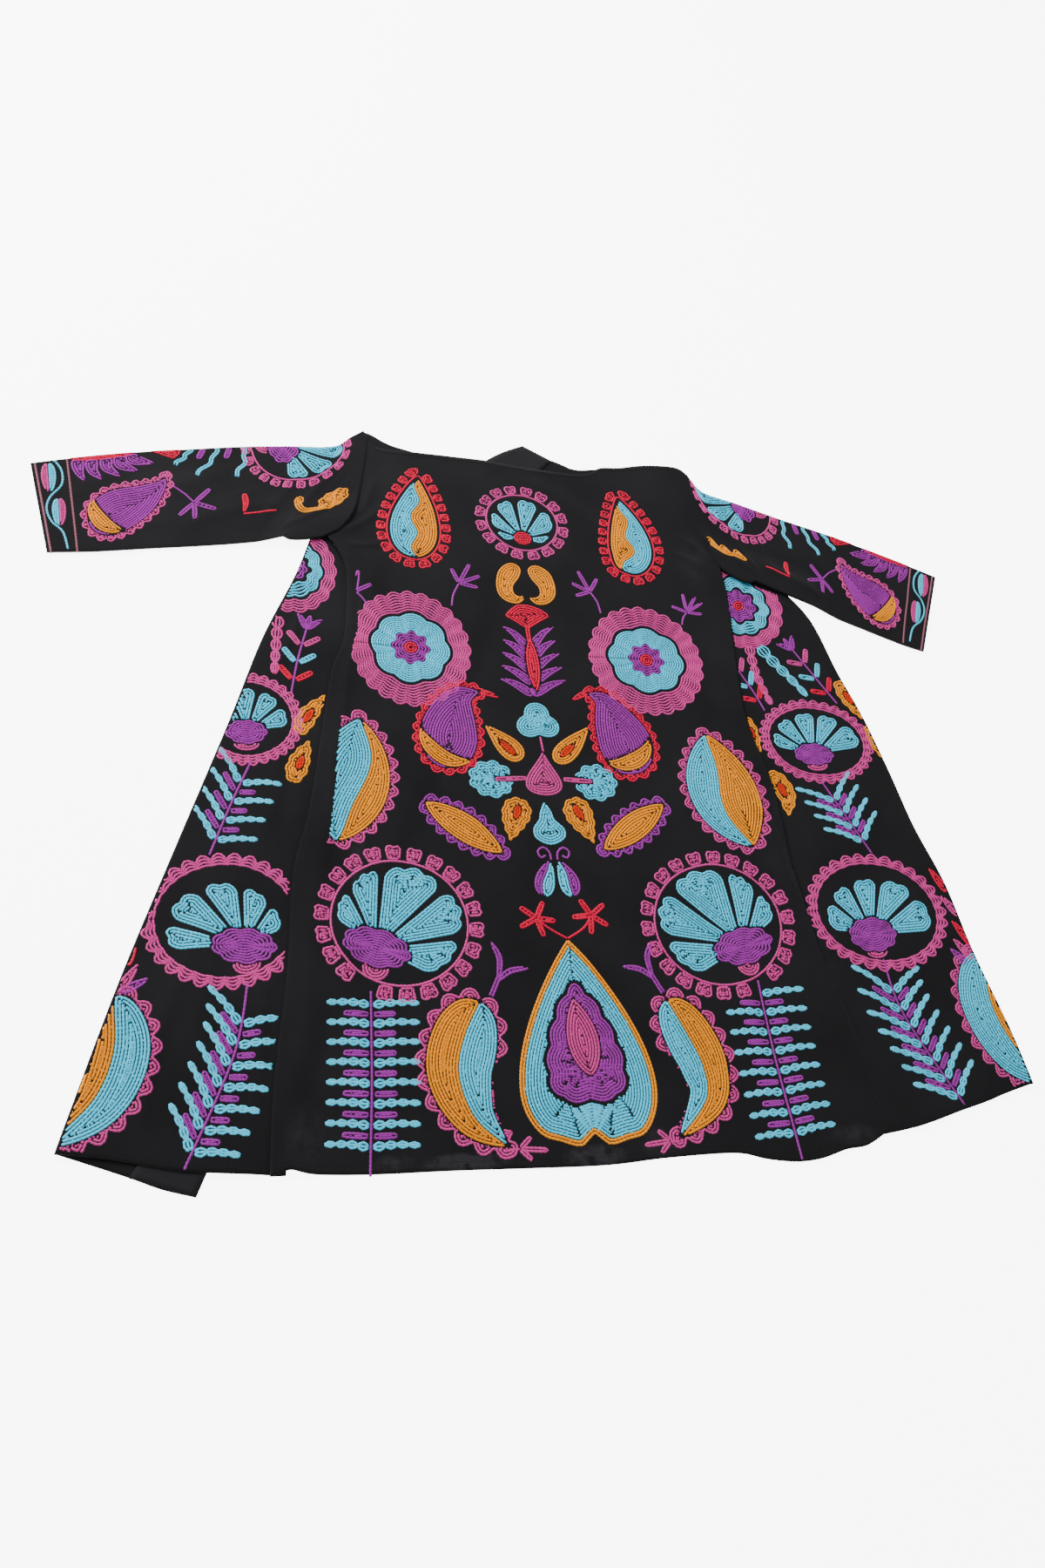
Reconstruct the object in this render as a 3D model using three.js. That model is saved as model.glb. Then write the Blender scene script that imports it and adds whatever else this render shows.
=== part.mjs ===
// Duster coat laid out face down: a black cotton coat, T-cut, with its back uppermost.
// Millimetres, +Z up. X runs across the coat, Y runs from hem to neck, and Z = 0 is the surface it lies on.
// Each cut piece is a thin closed wall: a grid of mid-surface points, moved half its wall to each side.
import * as THREE from 'three';

// ---------- driving sizes ----------
const CLOTH = 1.4;            // wall of the upper layers
const UNDER = 1.8;            // wall of the layers that lie on the surface
const FACING = 1.0;           // wall of the facings
const SEAM_GAP = 0.3;         // between neighbouring pieces
const FOLD_CLEAR = 0.6;       // more, where a sleeve's fold meets the armhole
const LAP = 14;               // how far the back's folded edges lap over the fronts
const LAP_CLEAR = 0.8;        // under a folded edge
const LAP_RADIUS = 1.1;       // of the back's knife folds, at mid-surface
const SIDE_RADIUS = 2.2;      // of the side folds of the fronts
const SLEEVE_RADIUS = 1.5;    // of the sleeves' top and bottom folds
const ARMHOLE_ROWS = 8;       // grid steps from shoulder to underarm
const SIDE_ROWS = 20;         // from underarm to hem
const EDGE_INSETS = [0, 8, 16, 30, 50];   // of the back's outer columns
const BACK_MIDDLE = 14;       // grid steps between the innermost of those columns
const FRONT_COLUMNS = 8;      // across each layer of a front
const FACING_SHARES = [0.01, 0.5, 1];     // across a facing, from just inside its front's edge
const SLEEVE_STEPS = 14;      // along a sleeve
const ROLL_STEPS = 4;         // round a fold

// ---------- resting heights of the mid-surfaces ----------
const FLOOR_MID = CLOTH / 2;
const UNDER_MID = UNDER / 2;
const FACING_MID = UNDER + SEAM_GAP + FACING / 2;
const UPPER_MID = FACING_MID + FACING / 2 + SEAM_GAP + CLOTH / 2;
const LAP_STEP = CLOTH + LAP_CLEAR;
const LAP_RISE = LAP_STEP + 2 * LAP_RADIUS;
const SLEEVE_LIFT = UNDER_MID + 2 * SIDE_RADIUS + CLOTH + SEAM_GAP - FLOOR_MID;

// ---------- outlines: x and y of each named line, from the neck down, and hems from left to right ----------
const ARMHOLE_LEFT = [
  { x: -209, y: 479 }, { x: -204, y: 464 }, { x: -208, y: 424 }, { x: -222, y: 352 }, { x: -240, y: 314 },
  { x: -262, y: 297 },
];
const ARMHOLE_RIGHT = [
  { x: 253, y: 458 }, { x: 254, y: 410 }, { x: 257, y: 365 }, { x: 262, y: 330 }, { x: 273, y: 296 },
];
const BACK_TOP = [
  { x: -209, y: 479 }, { x: -202, y: 464 }, { x: -190, y: 452 }, { x: -147, y: 450 }, { x: -100, y: 450 },
  { x: -50, y: 449 }, { x: 0, y: 444 }, { x: 48, y: 440 }, { x: 80, y: 439 }, { x: 105, y: 444 },
  { x: 122, y: 455 }, { x: 151, y: 459 }, { x: 185, y: 467 }, { x: 220, y: 470 }, { x: 241, y: 468 },
  { x: 253, y: 458 },
];
const BACK_EDGE_LEFT = [
  { x: -262, y: 297 }, { x: -246, y: 270 }, { x: -239, y: 240 }, { x: -241, y: 190 }, { x: -246, y: 143 },
  { x: -261, y: 98 }, { x: -274, y: 18 }, { x: -291, y: -85 }, { x: -309, y: -160 }, { x: -317, y: -274 },
  { x: -331, y: -390 }, { x: -335, y: -477 },
];
const BACK_EDGE_RIGHT = [
  { x: 273, y: 296 }, { x: 275, y: 256 }, { x: 273, y: 205 }, { x: 269, y: 140 }, { x: 267, y: 80 },
  { x: 269, y: 44 }, { x: 277, y: 8 }, { x: 286, y: -43 }, { x: 288, y: -90 }, { x: 289, y: -150 },
  { x: 295, y: -202 }, { x: 305, y: -264 }, { x: 323, y: -342 }, { x: 335, y: -410 }, { x: 337, y: -468 },
];
const HEM_BACK = [
  { x: -335, y: -477 }, { x: -326, y: -475 }, { x: -316, y: -472 }, { x: -292, y: -477 }, { x: -235, y: -480 },
  { x: -147, y: -481 }, { x: 0, y: -484 }, { x: 78, y: -480 }, { x: 155, y: -479 }, { x: 190, y: -487 },
  { x: 225, y: -492 }, { x: 256, y: -490 }, { x: 287, y: -482 }, { x: 313, y: -479 }, { x: 337, y: -468 },
];
const SIDE_FOLD_LEFT = [
  { x: -280, y: 303 }, { x: -301, y: 238 }, { x: -342, y: 140 }, { x: -379, y: 26 }, { x: -430, y: -122 },
  { x: -481, y: -272 }, { x: -522, y: -408 }, { x: -533, y: -446 },
];
const SIDE_FOLD_RIGHT = [
  { x: 362, y: 270 }, { x: 397, y: 219 }, { x: 419, y: 137 }, { x: 440, y: 72 }, { x: 459, y: -9 },
  { x: 475, y: -89 }, { x: 498, y: -167 }, { x: 513, y: -258 }, { x: 535, y: -354 }, { x: 546, y: -420 },
];
const FRONT_TOP_LEFT = [
  { x: -209, y: 479 }, { x: -199, y: 477 }, { x: -176, y: 463 }, { x: -149, y: 455 }, { x: -100, y: 444 },
];
const FRONT_TOP_RIGHT = [
  { x: 253, y: 458 }, { x: 241, y: 468 }, { x: 220, y: 470 }, { x: 185, y: 467 }, { x: 151, y: 459 },
  { x: 122, y: 455 }, { x: 85, y: 450 }, { x: 63, y: 459 }, { x: 45, y: 465 }, { x: 12, y: 483 },
];
const FRONT_EDGE_LEFT = [
  { x: -100, y: 444 }, { x: -84, y: 400 }, { x: -86, y: 310 }, { x: -115, y: 190 }, { x: -188, y: 0 },
  { x: -275, y: -200 }, { x: -350, y: -370 }, { x: -403, y: -492 },
];
const FRONT_EDGE_RIGHT = [
  { x: 12, y: 483 }, { x: -24, y: 464 }, { x: -48, y: 440 }, { x: -44, y: 395 }, { x: -18, y: 330 },
  { x: 35, y: 220 }, { x: 140, y: 0 }, { x: 250, y: -195 }, { x: 345, y: -345 }, { x: 412, y: -436 },
];
const HEM_UPPER_LEFT = [
  { x: -321, y: -482 }, { x: -335, y: -480 }, { x: -398, y: -473 }, { x: -434, y: -467 }, { x: -483, y: -455 },
  { x: -533, y: -446 },
];
const HEM_UNDER_LEFT = [
  { x: -533, y: -446 }, { x: -500, y: -458 }, { x: -465, y: -471 }, { x: -435, y: -483 }, { x: -403, y: -492 },
];
const HEM_UPPER_RIGHT = [
  { x: 337, y: -468 }, { x: 386, y: -461 }, { x: 442, y: -447 }, { x: 479, y: -438 }, { x: 510, y: -429 },
  { x: 546, y: -420 },
];
const HEM_UNDER_RIGHT = [
  { x: 546, y: -420 }, { x: 500, y: -426 }, { x: 455, y: -431 }, { x: 412, y: -436 },
];
const FACING_INNER_LEFT = [
  { x: -160, y: 440 }, { x: -148, y: 400 }, { x: -150, y: 305 }, { x: -178, y: 178 }, { x: -250, y: -22 },
  { x: -338, y: -222 }, { x: -412, y: -385 }, { x: -465, y: -471 },
];
const FACING_INNER_RIGHT = [
  { x: 52, y: 461 }, { x: 26, y: 430 }, { x: 20, y: 400 }, { x: 42, y: 340 }, { x: 97, y: 235 },
  { x: 200, y: 18 }, { x: 306, y: -170 }, { x: 405, y: -325 }, { x: 470, y: -429 },
];

// ---------- sleeves: plan of the top and the bottom fold, from cuff to armhole ----------
const SLEEVE_LEFT = [
  { topX: -616, topY: 375, bottomX: -588, bottomY: 244 }, { topX: -560, topY: 391, bottomX: -535, bottomY: 250 },
  { topX: -495, topY: 407, bottomX: -475, bottomY: 260 }, { topX: -440, topY: 418, bottomX: -425, bottomY: 268 },
  { topX: -373, topY: 431, bottomX: -375, bottomY: 277 }, { topX: -310, topY: 440, bottomX: -325, bottomY: 288 },
  { topX: -250, topY: 447, bottomX: -290, bottomY: 297 }, { topX: -226, topY: 466, bottomX: -272, bottomY: 299 },
  { topX: -209, topY: 479, bottomX: -262, bottomY: 297 },
];
const SLEEVE_RIGHT = [
  { topX: 617, topY: 313, bottomX: 562, bottomY: 181 }, { topX: 579, topY: 328, bottomX: 529, bottomY: 191 },
  { topX: 520, topY: 350, bottomX: 470, bottomY: 214 }, { topX: 455, topY: 373, bottomX: 415, bottomY: 236 },
  { topX: 388, topY: 393, bottomX: 367, bottomY: 256 }, { topX: 323, topY: 414, bottomX: 325, bottomY: 274 },
  { topX: 277, topY: 427, bottomX: 294, bottomY: 288 }, { topX: 262, topY: 440, bottomX: 282, bottomY: 293 },
  { topX: 253, topY: 458, bottomX: 273, bottomY: 296 },
];
// Plan distance from the underarm at which a sleeve comes down from its front onto the surface.
const LIFT_LEFT = { underarm: -262, full: 45, none: 90 };
const LIFT_RIGHT = { underarm: 273, full: 125, none: 175 };

// ---------- large folds raised in the cloth: centre, half sizes, turn in degrees and height ----------
const SWELLS = [
  { x: 258, y: -400, halfX: 36, halfY: 120, turn: -12, height: 4.2 },
  { x: 310, y: -350, halfX: 26, halfY: 120, turn: 10, height: 2.4 },
  { x: 180, y: 395, halfX: 60, halfY: 42, turn: 0, height: 2.0 },
  { x: -60, y: -240, halfX: 34, halfY: 200, turn: 8, height: 1.0 },
  { x: 110, y: -60, halfX: 38, halfY: 220, turn: -8, height: 1.0 },
];
// The flattened tuck beside the back's left edge: x of its inner side, and how far it stands up.
const TUCK_LEFT = [
  { y: 300, x: -226, height: 0.5 }, { y: 160, x: -228, height: 0.9 }, { y: 100, x: -244, height: 1.6 },
  { y: 0, x: -256, height: 1.6 }, { y: -100, x: -266, height: 0.9 }, { y: -200, x: -290, height: 0.3 },
  { y: -480, x: -310, height: 0.3 },
];
const TUCK_SLOPE = 20;
const REST_MARGIN = 36;       // from a front's edge to where the back starts to come down
const REST_SLOPE = 34;
const LAP_MARGIN = 4;         // from the inner end of a lap to where the back starts to come down
const LAP_SLOPE = 32;
const SIDE_FOLD_REACH = 34;   // how far the swell of a side fold reaches into its front

// ---------- where a lap starts and ends down the coat, as y ----------
const LAP_START = { none: 294, full: 260 };
const LAP_HEIGHT_START = { none: 370, full: 300 };
const RIGHT_LAP_END = { full: -60, none: -185, flat: -270 };
const LAP_LEAST = 0.15;       // share of the full lap below which no strip is folded under

// ---------- how the two layers of a sleeve lie ----------
const SLEEVE_PINCH = 0.7;     // how much closer they lie in the middle than at the folds
const PINCH_END = 0.7;        // share of the way to the armhole at which they start to part again
const LIFT_FROM = 0.5;        // share of the way from the top fold at which a sleeve starts to rise
const LIFT_REACH = 0.32;

// ---------- helpers ----------
const smooth = t => THREE.MathUtils.smoothstep(t, 0, 1);
const plan = (x, y) => new THREE.Vector2(x, y);
const cell = (point, z, wall) => ({ point: new THREE.Vector3(point.x, point.y, z), wall });

/** A smooth plan curve through a table's points. */
function planCurve(table, columnX = 'x', columnY = 'y') {
  return new THREE.SplineCurve(table.map(row => plan(row[columnX], row[columnY])));
}

/** Value of one column of a table at y, straight between its rows, which run from high y to low y. */
function columnAt(table, y, column = 'x') {
  const last = table.length - 1;
  const below = table.findIndex((row, i) => i > 0 && y >= row.y);
  const i = below < 0 ? last : below;
  const t = THREE.MathUtils.clamp((table[i - 1].y - y) / Math.max(table[i - 1].y - table[i].y, 1e-6), 0, 1);
  return THREE.MathUtils.lerp(table[i - 1][column], table[i][column], t);
}

/** Coons patch: the plan point at shares u and v, from left and right edge points and top and bottom curves. */
function coons({ left, right, top, bottom }, u, v) {
  const across = left.clone().lerp(right, u);
  const down = top.getPointAt(u).lerp(bottom.getPointAt(u), v);
  const topLine = top.getPointAt(0).lerp(top.getPointAt(1), u);
  const bottomLine = bottom.getPointAt(0).lerp(bottom.getPointAt(1), u);
  return across.add(down).sub(topLine.lerp(bottomLine, v));
}

/**
 * The closed wall of a grid: grid[row][column] is { point, wall } or null where the piece has no cloth. Each
 * point moves half its wall along the surface's normal to each side, and a rim closes every free edge.
 * A closed grid joins its last column to its first.
 */
function clothWall(grid, closed = false) {
  const points = [];
  const index = grid.map(row => row.map(item => (item ? points.push(item) - 1 : -1)));
  const faces = [];
  for (let r = 0; r + 1 < grid.length; r += 1) {
    const width = grid[r].length;
    for (let c = 0; c < (closed ? width : width - 1); c += 1) {
      const next = (c + 1) % width;
      const corners = [index[r][c], index[r][next], index[r + 1][c], index[r + 1][next]];
      if (corners.every(i => i >= 0)) faces.push(...splitCell(points, corners));
    }
  }
  return wallGeometry(points, faces);
}

/** Two triangles for a grid cell, along its shorter diagonal. */
function splitCell(points, [a, b, d, e]) {
  const straight = points[a].point.distanceTo(points[e].point);
  const other = points[b].point.distanceTo(points[d].point);
  return straight <= other ? [[a, d, e], [a, e, b]] : [[a, d, b], [b, d, e]];
}

/** Outer skin, inner skin and a rim along each free edge of a triangle list. */
function wallGeometry(points, faces) {
  const normals = points.map(() => new THREE.Vector3());
  const edges = new Map();
  for (const [a, b, c] of faces) {
    const normal = new THREE.Vector3().subVectors(points[b].point, points[a].point)
      .cross(new THREE.Vector3().subVectors(points[c].point, points[a].point));
    for (const i of [a, b, c]) normals[i].add(normal);
    for (const [p, q] of [[a, b], [b, c], [c, a]]) edges.set(`${p},${q}`, [p, q]);
  }
  const skin = sign => points.map(({ point, wall }, i) => point.clone()
    .addScaledVector(normals[i].clone().normalize(), sign * wall / 2));
  const inner = points.length;
  const triangles = [];
  for (const [a, b, c] of faces) triangles.push(a, b, c, inner + a, inner + c, inner + b);
  for (const [p, q] of edges.values()) {
    if (!edges.has(`${q},${p}`)) triangles.push(q, p, inner + p, q, inner + p, inner + q);
  }
  const geometry = new THREE.BufferGeometry();
  const positions = [...skin(1), ...skin(-1)].flatMap(point => point.toArray());
  geometry.setAttribute('position', new THREE.Float32BufferAttribute(positions, 3));
  geometry.setIndex(triangles);
  return geometry;
}

/** Height of the swells at a plan point. */
function swell(x, y) {
  return SWELLS.reduce((height, fold) => {
    const d = plan(x - fold.x, y - fold.y).rotateAround(plan(0, 0), THREE.MathUtils.degToRad(-fold.turn));
    return height + fold.height * Math.exp(-((d.x / fold.halfX) ** 2) - (d.y / fold.halfY) ** 2);
  }, 0);
}

// ---------- the back ----------
const SIDES = {
  left: { inward: 1, armhole: planCurve(ARMHOLE_LEFT), edge: planCurve(BACK_EDGE_LEFT) },
  right: { inward: -1, armhole: planCurve(ARMHOLE_RIGHT), edge: planCurve(BACK_EDGE_RIGHT) },
};

/** Share of the full lap at y: it grows below the underarm, and on the right it ends above the hem. */
function lapShare(side, y) {
  const start = smooth((LAP_START.none - y) / (LAP_START.none - LAP_START.full));
  const { full, none } = RIGHT_LAP_END;
  return side === 'right' ? start * smooth((y - none) / (full - none)) : start;
}

/** Whether a row of the back ends in a knife fold on a side. */
function isLapped(side, row, edge) {
  return row >= ARMHOLE_ROWS && lapShare(side, edge.y) >= LAP_LEAST;
}

/** Share of the lap's height at y: it is there before the lap starts and fades after it ends. */
function lapHeight(side, y) {
  const start = smooth((LAP_HEIGHT_START.none - y) / (LAP_HEIGHT_START.none - LAP_HEIGHT_START.full));
  const { none, flat } = RIGHT_LAP_END;
  return side === 'right' ? start * smooth((y - flat) / (none - flat)) : start;
}

/** Mid-surface of an upper layer: on the surface between the fronts' edges, above the under layers elsewhere. */
function restMid(x, y) {
  const fromLeft = smooth((x - columnAt(FRONT_EDGE_LEFT, y) - REST_MARGIN) / REST_SLOPE);
  const fromRight = smooth((columnAt(FRONT_EDGE_RIGHT, y) - REST_MARGIN - x) / REST_SLOPE);
  return THREE.MathUtils.lerp(UPPER_MID, FLOOR_MID, fromLeft * fromRight);
}

/** Height of the flattened tuck at a plan point. */
function tuckRise(x, y) {
  return columnAt(TUCK_LEFT, y, 'height') * (1 - smooth((x - columnAt(TUCK_LEFT, y)) / TUCK_SLOPE));
}

/** The edge points of one side of the back, half a seam inside the seam line. */
function backSide({ inward, armhole, edge }) {
  const points = [...armhole.getSpacedPoints(ARMHOLE_ROWS), ...edge.getSpacedPoints(SIDE_ROWS).slice(1)];
  return points.map(point => point.clone().add(plan(inward * SEAM_GAP / 2, 0)));
}

/** The back's upper face at a plan point. */
function backCell(point, insetLeft, insetRight) {
  const { x, y } = point;
  const lapLeft = lapHeight('left', y) * (1 - smooth((insetLeft - LAP - LAP_MARGIN) / LAP_SLOPE));
  const lapRight = lapHeight('right', y) * (1 - smooth((insetRight - LAP - LAP_MARGIN) / LAP_SLOPE));
  const rise = Math.max(lapLeft, lapRight) * LAP_RISE;
  return cell(point, restMid(x, y) + rise + tuckRise(x, y) + swell(x, y), CLOTH);
}

/** The folded-under strip and roll of a knife fold, from its inner end out to the upper face. */
function lapCells(side, row, edge) {
  const share = lapShare(side, edge.y);
  const { inward } = SIDES[side];
  if (!isLapped(side, row, edge)) return Array(ROLL_STEPS + 2).fill(null);
  const stripMid = ({ x, y }) => restMid(x, y) + LAP_STEP + tuckRise(x, y) + swell(x, y);
  const strip = [1, 0.5].map(part => {
    const point = edge.clone().add(plan(inward * LAP * share * part, 0));
    return cell(point, stripMid(point), CLOTH);
  });
  const base = stripMid(edge);
  const roll = Array.from({ length: ROLL_STEPS }, (_, step) => {
    const angle = Math.PI * step / ROLL_STEPS;
    const point = edge.clone().sub(plan(inward * LAP_RADIUS * Math.sin(angle), 0));
    return cell(point, base + LAP_RADIUS * (1 - Math.cos(angle)), CLOTH);
  });
  return [...strip, ...roll];
}

function backGeometry() {
  const top = planCurve(BACK_TOP);
  const bottom = planCurve(HEM_BACK);
  const leftEdge = backSide(SIDES.left);
  const rightEdge = backSide(SIDES.right);
  const rows = leftEdge.length - 1;
  const foldInset = LAP_RADIUS + CLOTH / 2;
  const grid = leftEdge.map((left, row) => {
    const right = rightEdge[row];
    const width = left.distanceTo(right);
    const first = isLapped('left', row, left) ? foldInset : 0;
    const last = isLapped('right', row, right) ? foldInset : 0;
    const insets = EDGE_INSETS.map(inset => inset / width);
    const inner = insets[insets.length - 1];
    const step = (1 - 2 * inner) / BACK_MIDDLE;
    const middle = Array.from({ length: BACK_MIDDLE - 1 }, (_, i) => inner + step * (i + 1));
    const shares = [...insets, ...middle, ...insets.map(inset => 1 - inset).reverse()];
    shares[0] = first / width;
    shares[shares.length - 1] = 1 - last / width;
    const face = shares.map(u => {
      const point = coons({ left, right, top, bottom }, u, row / rows);
      return backCell(point, u * width, (1 - u) * width);
    });
    const foldLeft = left.clone().add(plan(first, 0));
    const foldRight = right.clone().sub(plan(last, 0));
    return [...lapCells('left', row, foldLeft), ...face, ...lapCells('right', row, foldRight).reverse()];
  });
  return clothWall(grid);
}

// ---------- the fronts ----------
const FRONTS = {
  left: {
    outward: -1, top: FRONT_TOP_LEFT, fold: SIDE_FOLD_LEFT, edge: FRONT_EDGE_LEFT, hemUpper: HEM_UPPER_LEFT,
    hemUnder: HEM_UNDER_LEFT,
  },
  right: {
    outward: 1, top: FRONT_TOP_RIGHT, fold: SIDE_FOLD_RIGHT, edge: FRONT_EDGE_RIGHT, hemUpper: HEM_UPPER_RIGHT,
    hemUnder: HEM_UNDER_RIGHT,
  },
};

/** Plan points of the front's seam edge: beneath the back's lap, or half a seam beside the back. */
function frontSeam(side) {
  const { outward } = FRONTS[side];
  return SIDES[side].edge.getSpacedPoints(SIDE_ROWS).map(point => {
    const share = lapShare(side, point.y);
    const shift = share < LAP_LEAST ? outward * SEAM_GAP / 2 : -outward * LAP * share;
    return point.clone().add(plan(shift, 0));
  });
}

/** The upper layer of one row of a front, from the seam to the start of the side fold. */
function upperCells(side, seam, rollStart, top, hem, v) {
  return Array.from({ length: FRONT_COLUMNS + 1 }, (_, column) => {
    const u = column / FRONT_COLUMNS;
    const point = coons({ left: seam, right: rollStart, top, bottom: hem }, u, v);
    const toFold = point.distanceTo(rollStart);
    const foldRise = (UNDER_MID + 2 * SIDE_RADIUS - UPPER_MID) * (1 - smooth(toFold / SIDE_FOLD_REACH));
    const raised = lapHeight(side, point.y) > 0 ? 0 : swell(point.x, point.y);
    return cell(point, restMid(point.x, point.y) + foldRise + raised, CLOTH);
  });
}

function frontGeometry(side) {
  const { outward, top, fold, edge, hemUpper, hemUnder } = FRONTS[side];
  const topCurve = planCurve(top);
  const hemUnderCurve = planCurve(hemUnder);
  const armhole = SIDES[side].armhole.getSpacedPoints(ARMHOLE_ROWS)
    .map(point => point.clone().sub(plan(outward * SEAM_GAP / 2, 0)));
  const foldPoints = planCurve(fold).getSpacedPoints(SIDE_ROWS);
  const outer = [...armhole, ...foldPoints];
  const rows = outer.length - 1;
  const edgePoints = planCurve(edge).getSpacedPoints(rows);
  const seam = frontSeam(side);
  const inset = SIDE_RADIUS + UNDER / 2;
  const hemTop = new THREE.LineCurve(seam[0].clone(), foldPoints[0].clone().sub(plan(outward * inset, 0)));
  const grid = outer.map((outerPoint, row) => {
    const folded = row - armhole.length;
    const rollStart = outerPoint.clone().sub(plan(outward * (folded >= 0 ? inset : 0), 0));
    const underPatch = { left: rollStart, right: edgePoints[row], top: topCurve, bottom: hemUnderCurve };
    const under = Array.from({ length: FRONT_COLUMNS + 1 }, (_, column) => {
      const point = coons(underPatch, column / FRONT_COLUMNS, row / rows);
      return cell(point, UNDER_MID, UNDER);
    });
    if (folded < 0) return [...Array(FRONT_COLUMNS + ROLL_STEPS).fill(null), ...under];
    const v = folded / (foldPoints.length - 1);
    const upper = upperCells(side, seam[folded], rollStart, hemTop, planCurve(hemUpper), v);
    const roll = Array.from({ length: ROLL_STEPS - 1 }, (_, i) => {
      const angle = Math.PI * (i + 1) / ROLL_STEPS;
      const point = rollStart.clone().add(plan(outward * SIDE_RADIUS * Math.sin(angle), 0));
      const wall = THREE.MathUtils.lerp(CLOTH, UNDER, (i + 1) / ROLL_STEPS);
      return cell(point, UNDER_MID + SIDE_RADIUS * (1 + Math.cos(angle)), wall);
    });
    return [...upper, ...roll, ...under];
  });
  return clothWall(grid);
}

// ---------- the facings ----------
function facingGeometry(edgeTable, innerTable) {
  const edge = planCurve(edgeTable).getSpacedPoints(SIDE_ROWS);
  const inner = planCurve(innerTable).getSpacedPoints(SIDE_ROWS);
  const grid = edge.map((point, row) => FACING_SHARES.map(share => {
    return cell(point.clone().lerp(inner[row], share), FACING_MID, FACING);
  }));
  return clothWall(grid);
}

// ---------- the sleeves ----------
/** A flattened tube: upper layer, bottom fold, lower layer and top fold in each row, from cuff to armhole. */
function sleeveGeometry(table, armhole, lift, outward) {
  const topFold = planCurve(table, 'topX', 'topY');
  const bottomFold = planCurve(table, 'bottomX', 'bottomY');
  const armholePoints = armhole.getSpacedPoints(ARMHOLE_ROWS).map((point, i) => {
    const atFold = i === 0 || i === ARMHOLE_ROWS;
    return point.clone().add(plan(outward * (SEAM_GAP / 2 + (atFold ? FOLD_CLEAR : 0)), 0));
  });
  const rows = Array.from({ length: SLEEVE_STEPS + 1 }, (_, row) => row / SLEEVE_STEPS);
  const grid = rows.map(v => {
    const line = armholePoints.map((armholePoint, i) => {
      const u = i / ARMHOLE_ROWS;
      const straight = topFold.getPointAt(1).lerp(bottomFold.getPointAt(1), u);
      const bow = armholePoint.clone().sub(straight).multiplyScalar(v ** 2);
      return topFold.getPointAt(v).lerp(bottomFold.getPointAt(v), u).add(bow);
    });
    return sleeveRow(line, v, lift, outward);
  });
  return clothWall(grid, true);
}

/** One closed row of a sleeve over its plan line, which runs from the top fold to the bottom fold. */
function sleeveRow(line, v, lift, outward) {
  const last = line.length - 1;
  const inset = SLEEVE_RADIUS + CLOTH / 2;
  const insetLine = line.map(point => point.clone());
  insetLine[0].add(line[1].clone().sub(line[0]).setLength(inset));
  insetLine[last].add(line[last - 1].clone().sub(line[last]).setLength(inset));
  const reach = outward * (line[last].x - lift.underarm);
  const raised = SLEEVE_LIFT * (1 - smooth((reach - lift.full) / (lift.none - lift.full)));
  const floor = THREE.MathUtils.lerp(FLOOR_MID, UNDER_MID, v);
  const lower = u => floor + raised * smooth((u - LIFT_FROM) / LIFT_REACH);
  const parting = smooth((v - PINCH_END) / (1 - PINCH_END));
  const middle = THREE.MathUtils.lerp(2 * SLEEVE_RADIUS - SLEEVE_PINCH, UPPER_MID - UNDER_MID, parting);
  const apart = u => THREE.MathUtils.lerp(2 * SLEEVE_RADIUS, middle, Math.sin(Math.PI * u));
  const share = column => column / last;
  const upperCells = insetLine.map((point, i) => cell(point, lower(share(i)) + apart(share(i)), CLOTH));
  const lowerCells = insetLine.map((point, i) => cell(point, lower(share(i)), CLOTH));
  const outBottom = line[last].clone().sub(insetLine[last]).normalize();
  const outTop = line[0].clone().sub(insetLine[0]).normalize();
  return [
    ...upperCells, ...rollCells(insetLine[last], outBottom, lower(1), -1), ...lowerCells.reverse(),
    ...rollCells(insetLine[0], outTop, lower(0), 1),
  ];
}

/** The points between the two layers at a sleeve's fold, going down (-1) or up (1). */
function rollCells(point, outward, base, direction) {
  return Array.from({ length: ROLL_STEPS - 1 }, (_, i) => {
    const angle = Math.PI * (i + 1) / ROLL_STEPS;
    const plane = point.clone().addScaledVector(outward, SLEEVE_RADIUS * Math.sin(angle));
    return cell(plane, base + SLEEVE_RADIUS * (1 - direction * Math.cos(angle)), CLOTH);
  });
}

// ---------- the coat ----------
const blackCotton = new THREE.MeshStandardMaterial({ color: 0x1b191c, roughness: 0.9, metalness: 0 });
const facingCotton = new THREE.MeshStandardMaterial({ color: 0x222023, roughness: 0.92, metalness: 0 });

function piece(name, geometry, material) {
  const mesh = new THREE.Mesh(geometry, material);
  mesh.name = name;
  return mesh;
}

const coat = new THREE.Group();
coat.add(
  piece('back', backGeometry(), blackCotton),
  piece('front_left', frontGeometry('left'), blackCotton),
  piece('front_right', frontGeometry('right'), blackCotton),
  piece('facing_left', facingGeometry(FRONT_EDGE_LEFT, FACING_INNER_LEFT), facingCotton),
  piece('facing_right', facingGeometry(FRONT_EDGE_RIGHT, FACING_INNER_RIGHT), facingCotton),
  piece('sleeve_left', sleeveGeometry(SLEEVE_LEFT, SIDES.left.armhole, LIFT_LEFT, -1), blackCotton),
  piece('sleeve_right', sleeveGeometry(SLEEVE_RIGHT, SIDES.right.armhole, LIFT_RIGHT, 1), blackCotton),
);

// The origin is the middle of the coat's outline, on the surface.
const box = new THREE.Box3().setFromObject(coat);
const middle = box.getCenter(new THREE.Vector3());
coat.position.set(-middle.x, -middle.y, -box.min.z);

export default coat;
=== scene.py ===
"""Duster coat of black cotton, laid out face down, with chain-stitch embroidery.

All shapes are worked out in millimetres, X across the coat and Y from hem to neck, as the cut is drawn on a
table. The function place() brings them into the frame, in metres.
"""
from functools import partial

import bpy
import numpy as np
from mathutils import Matrix


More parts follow.
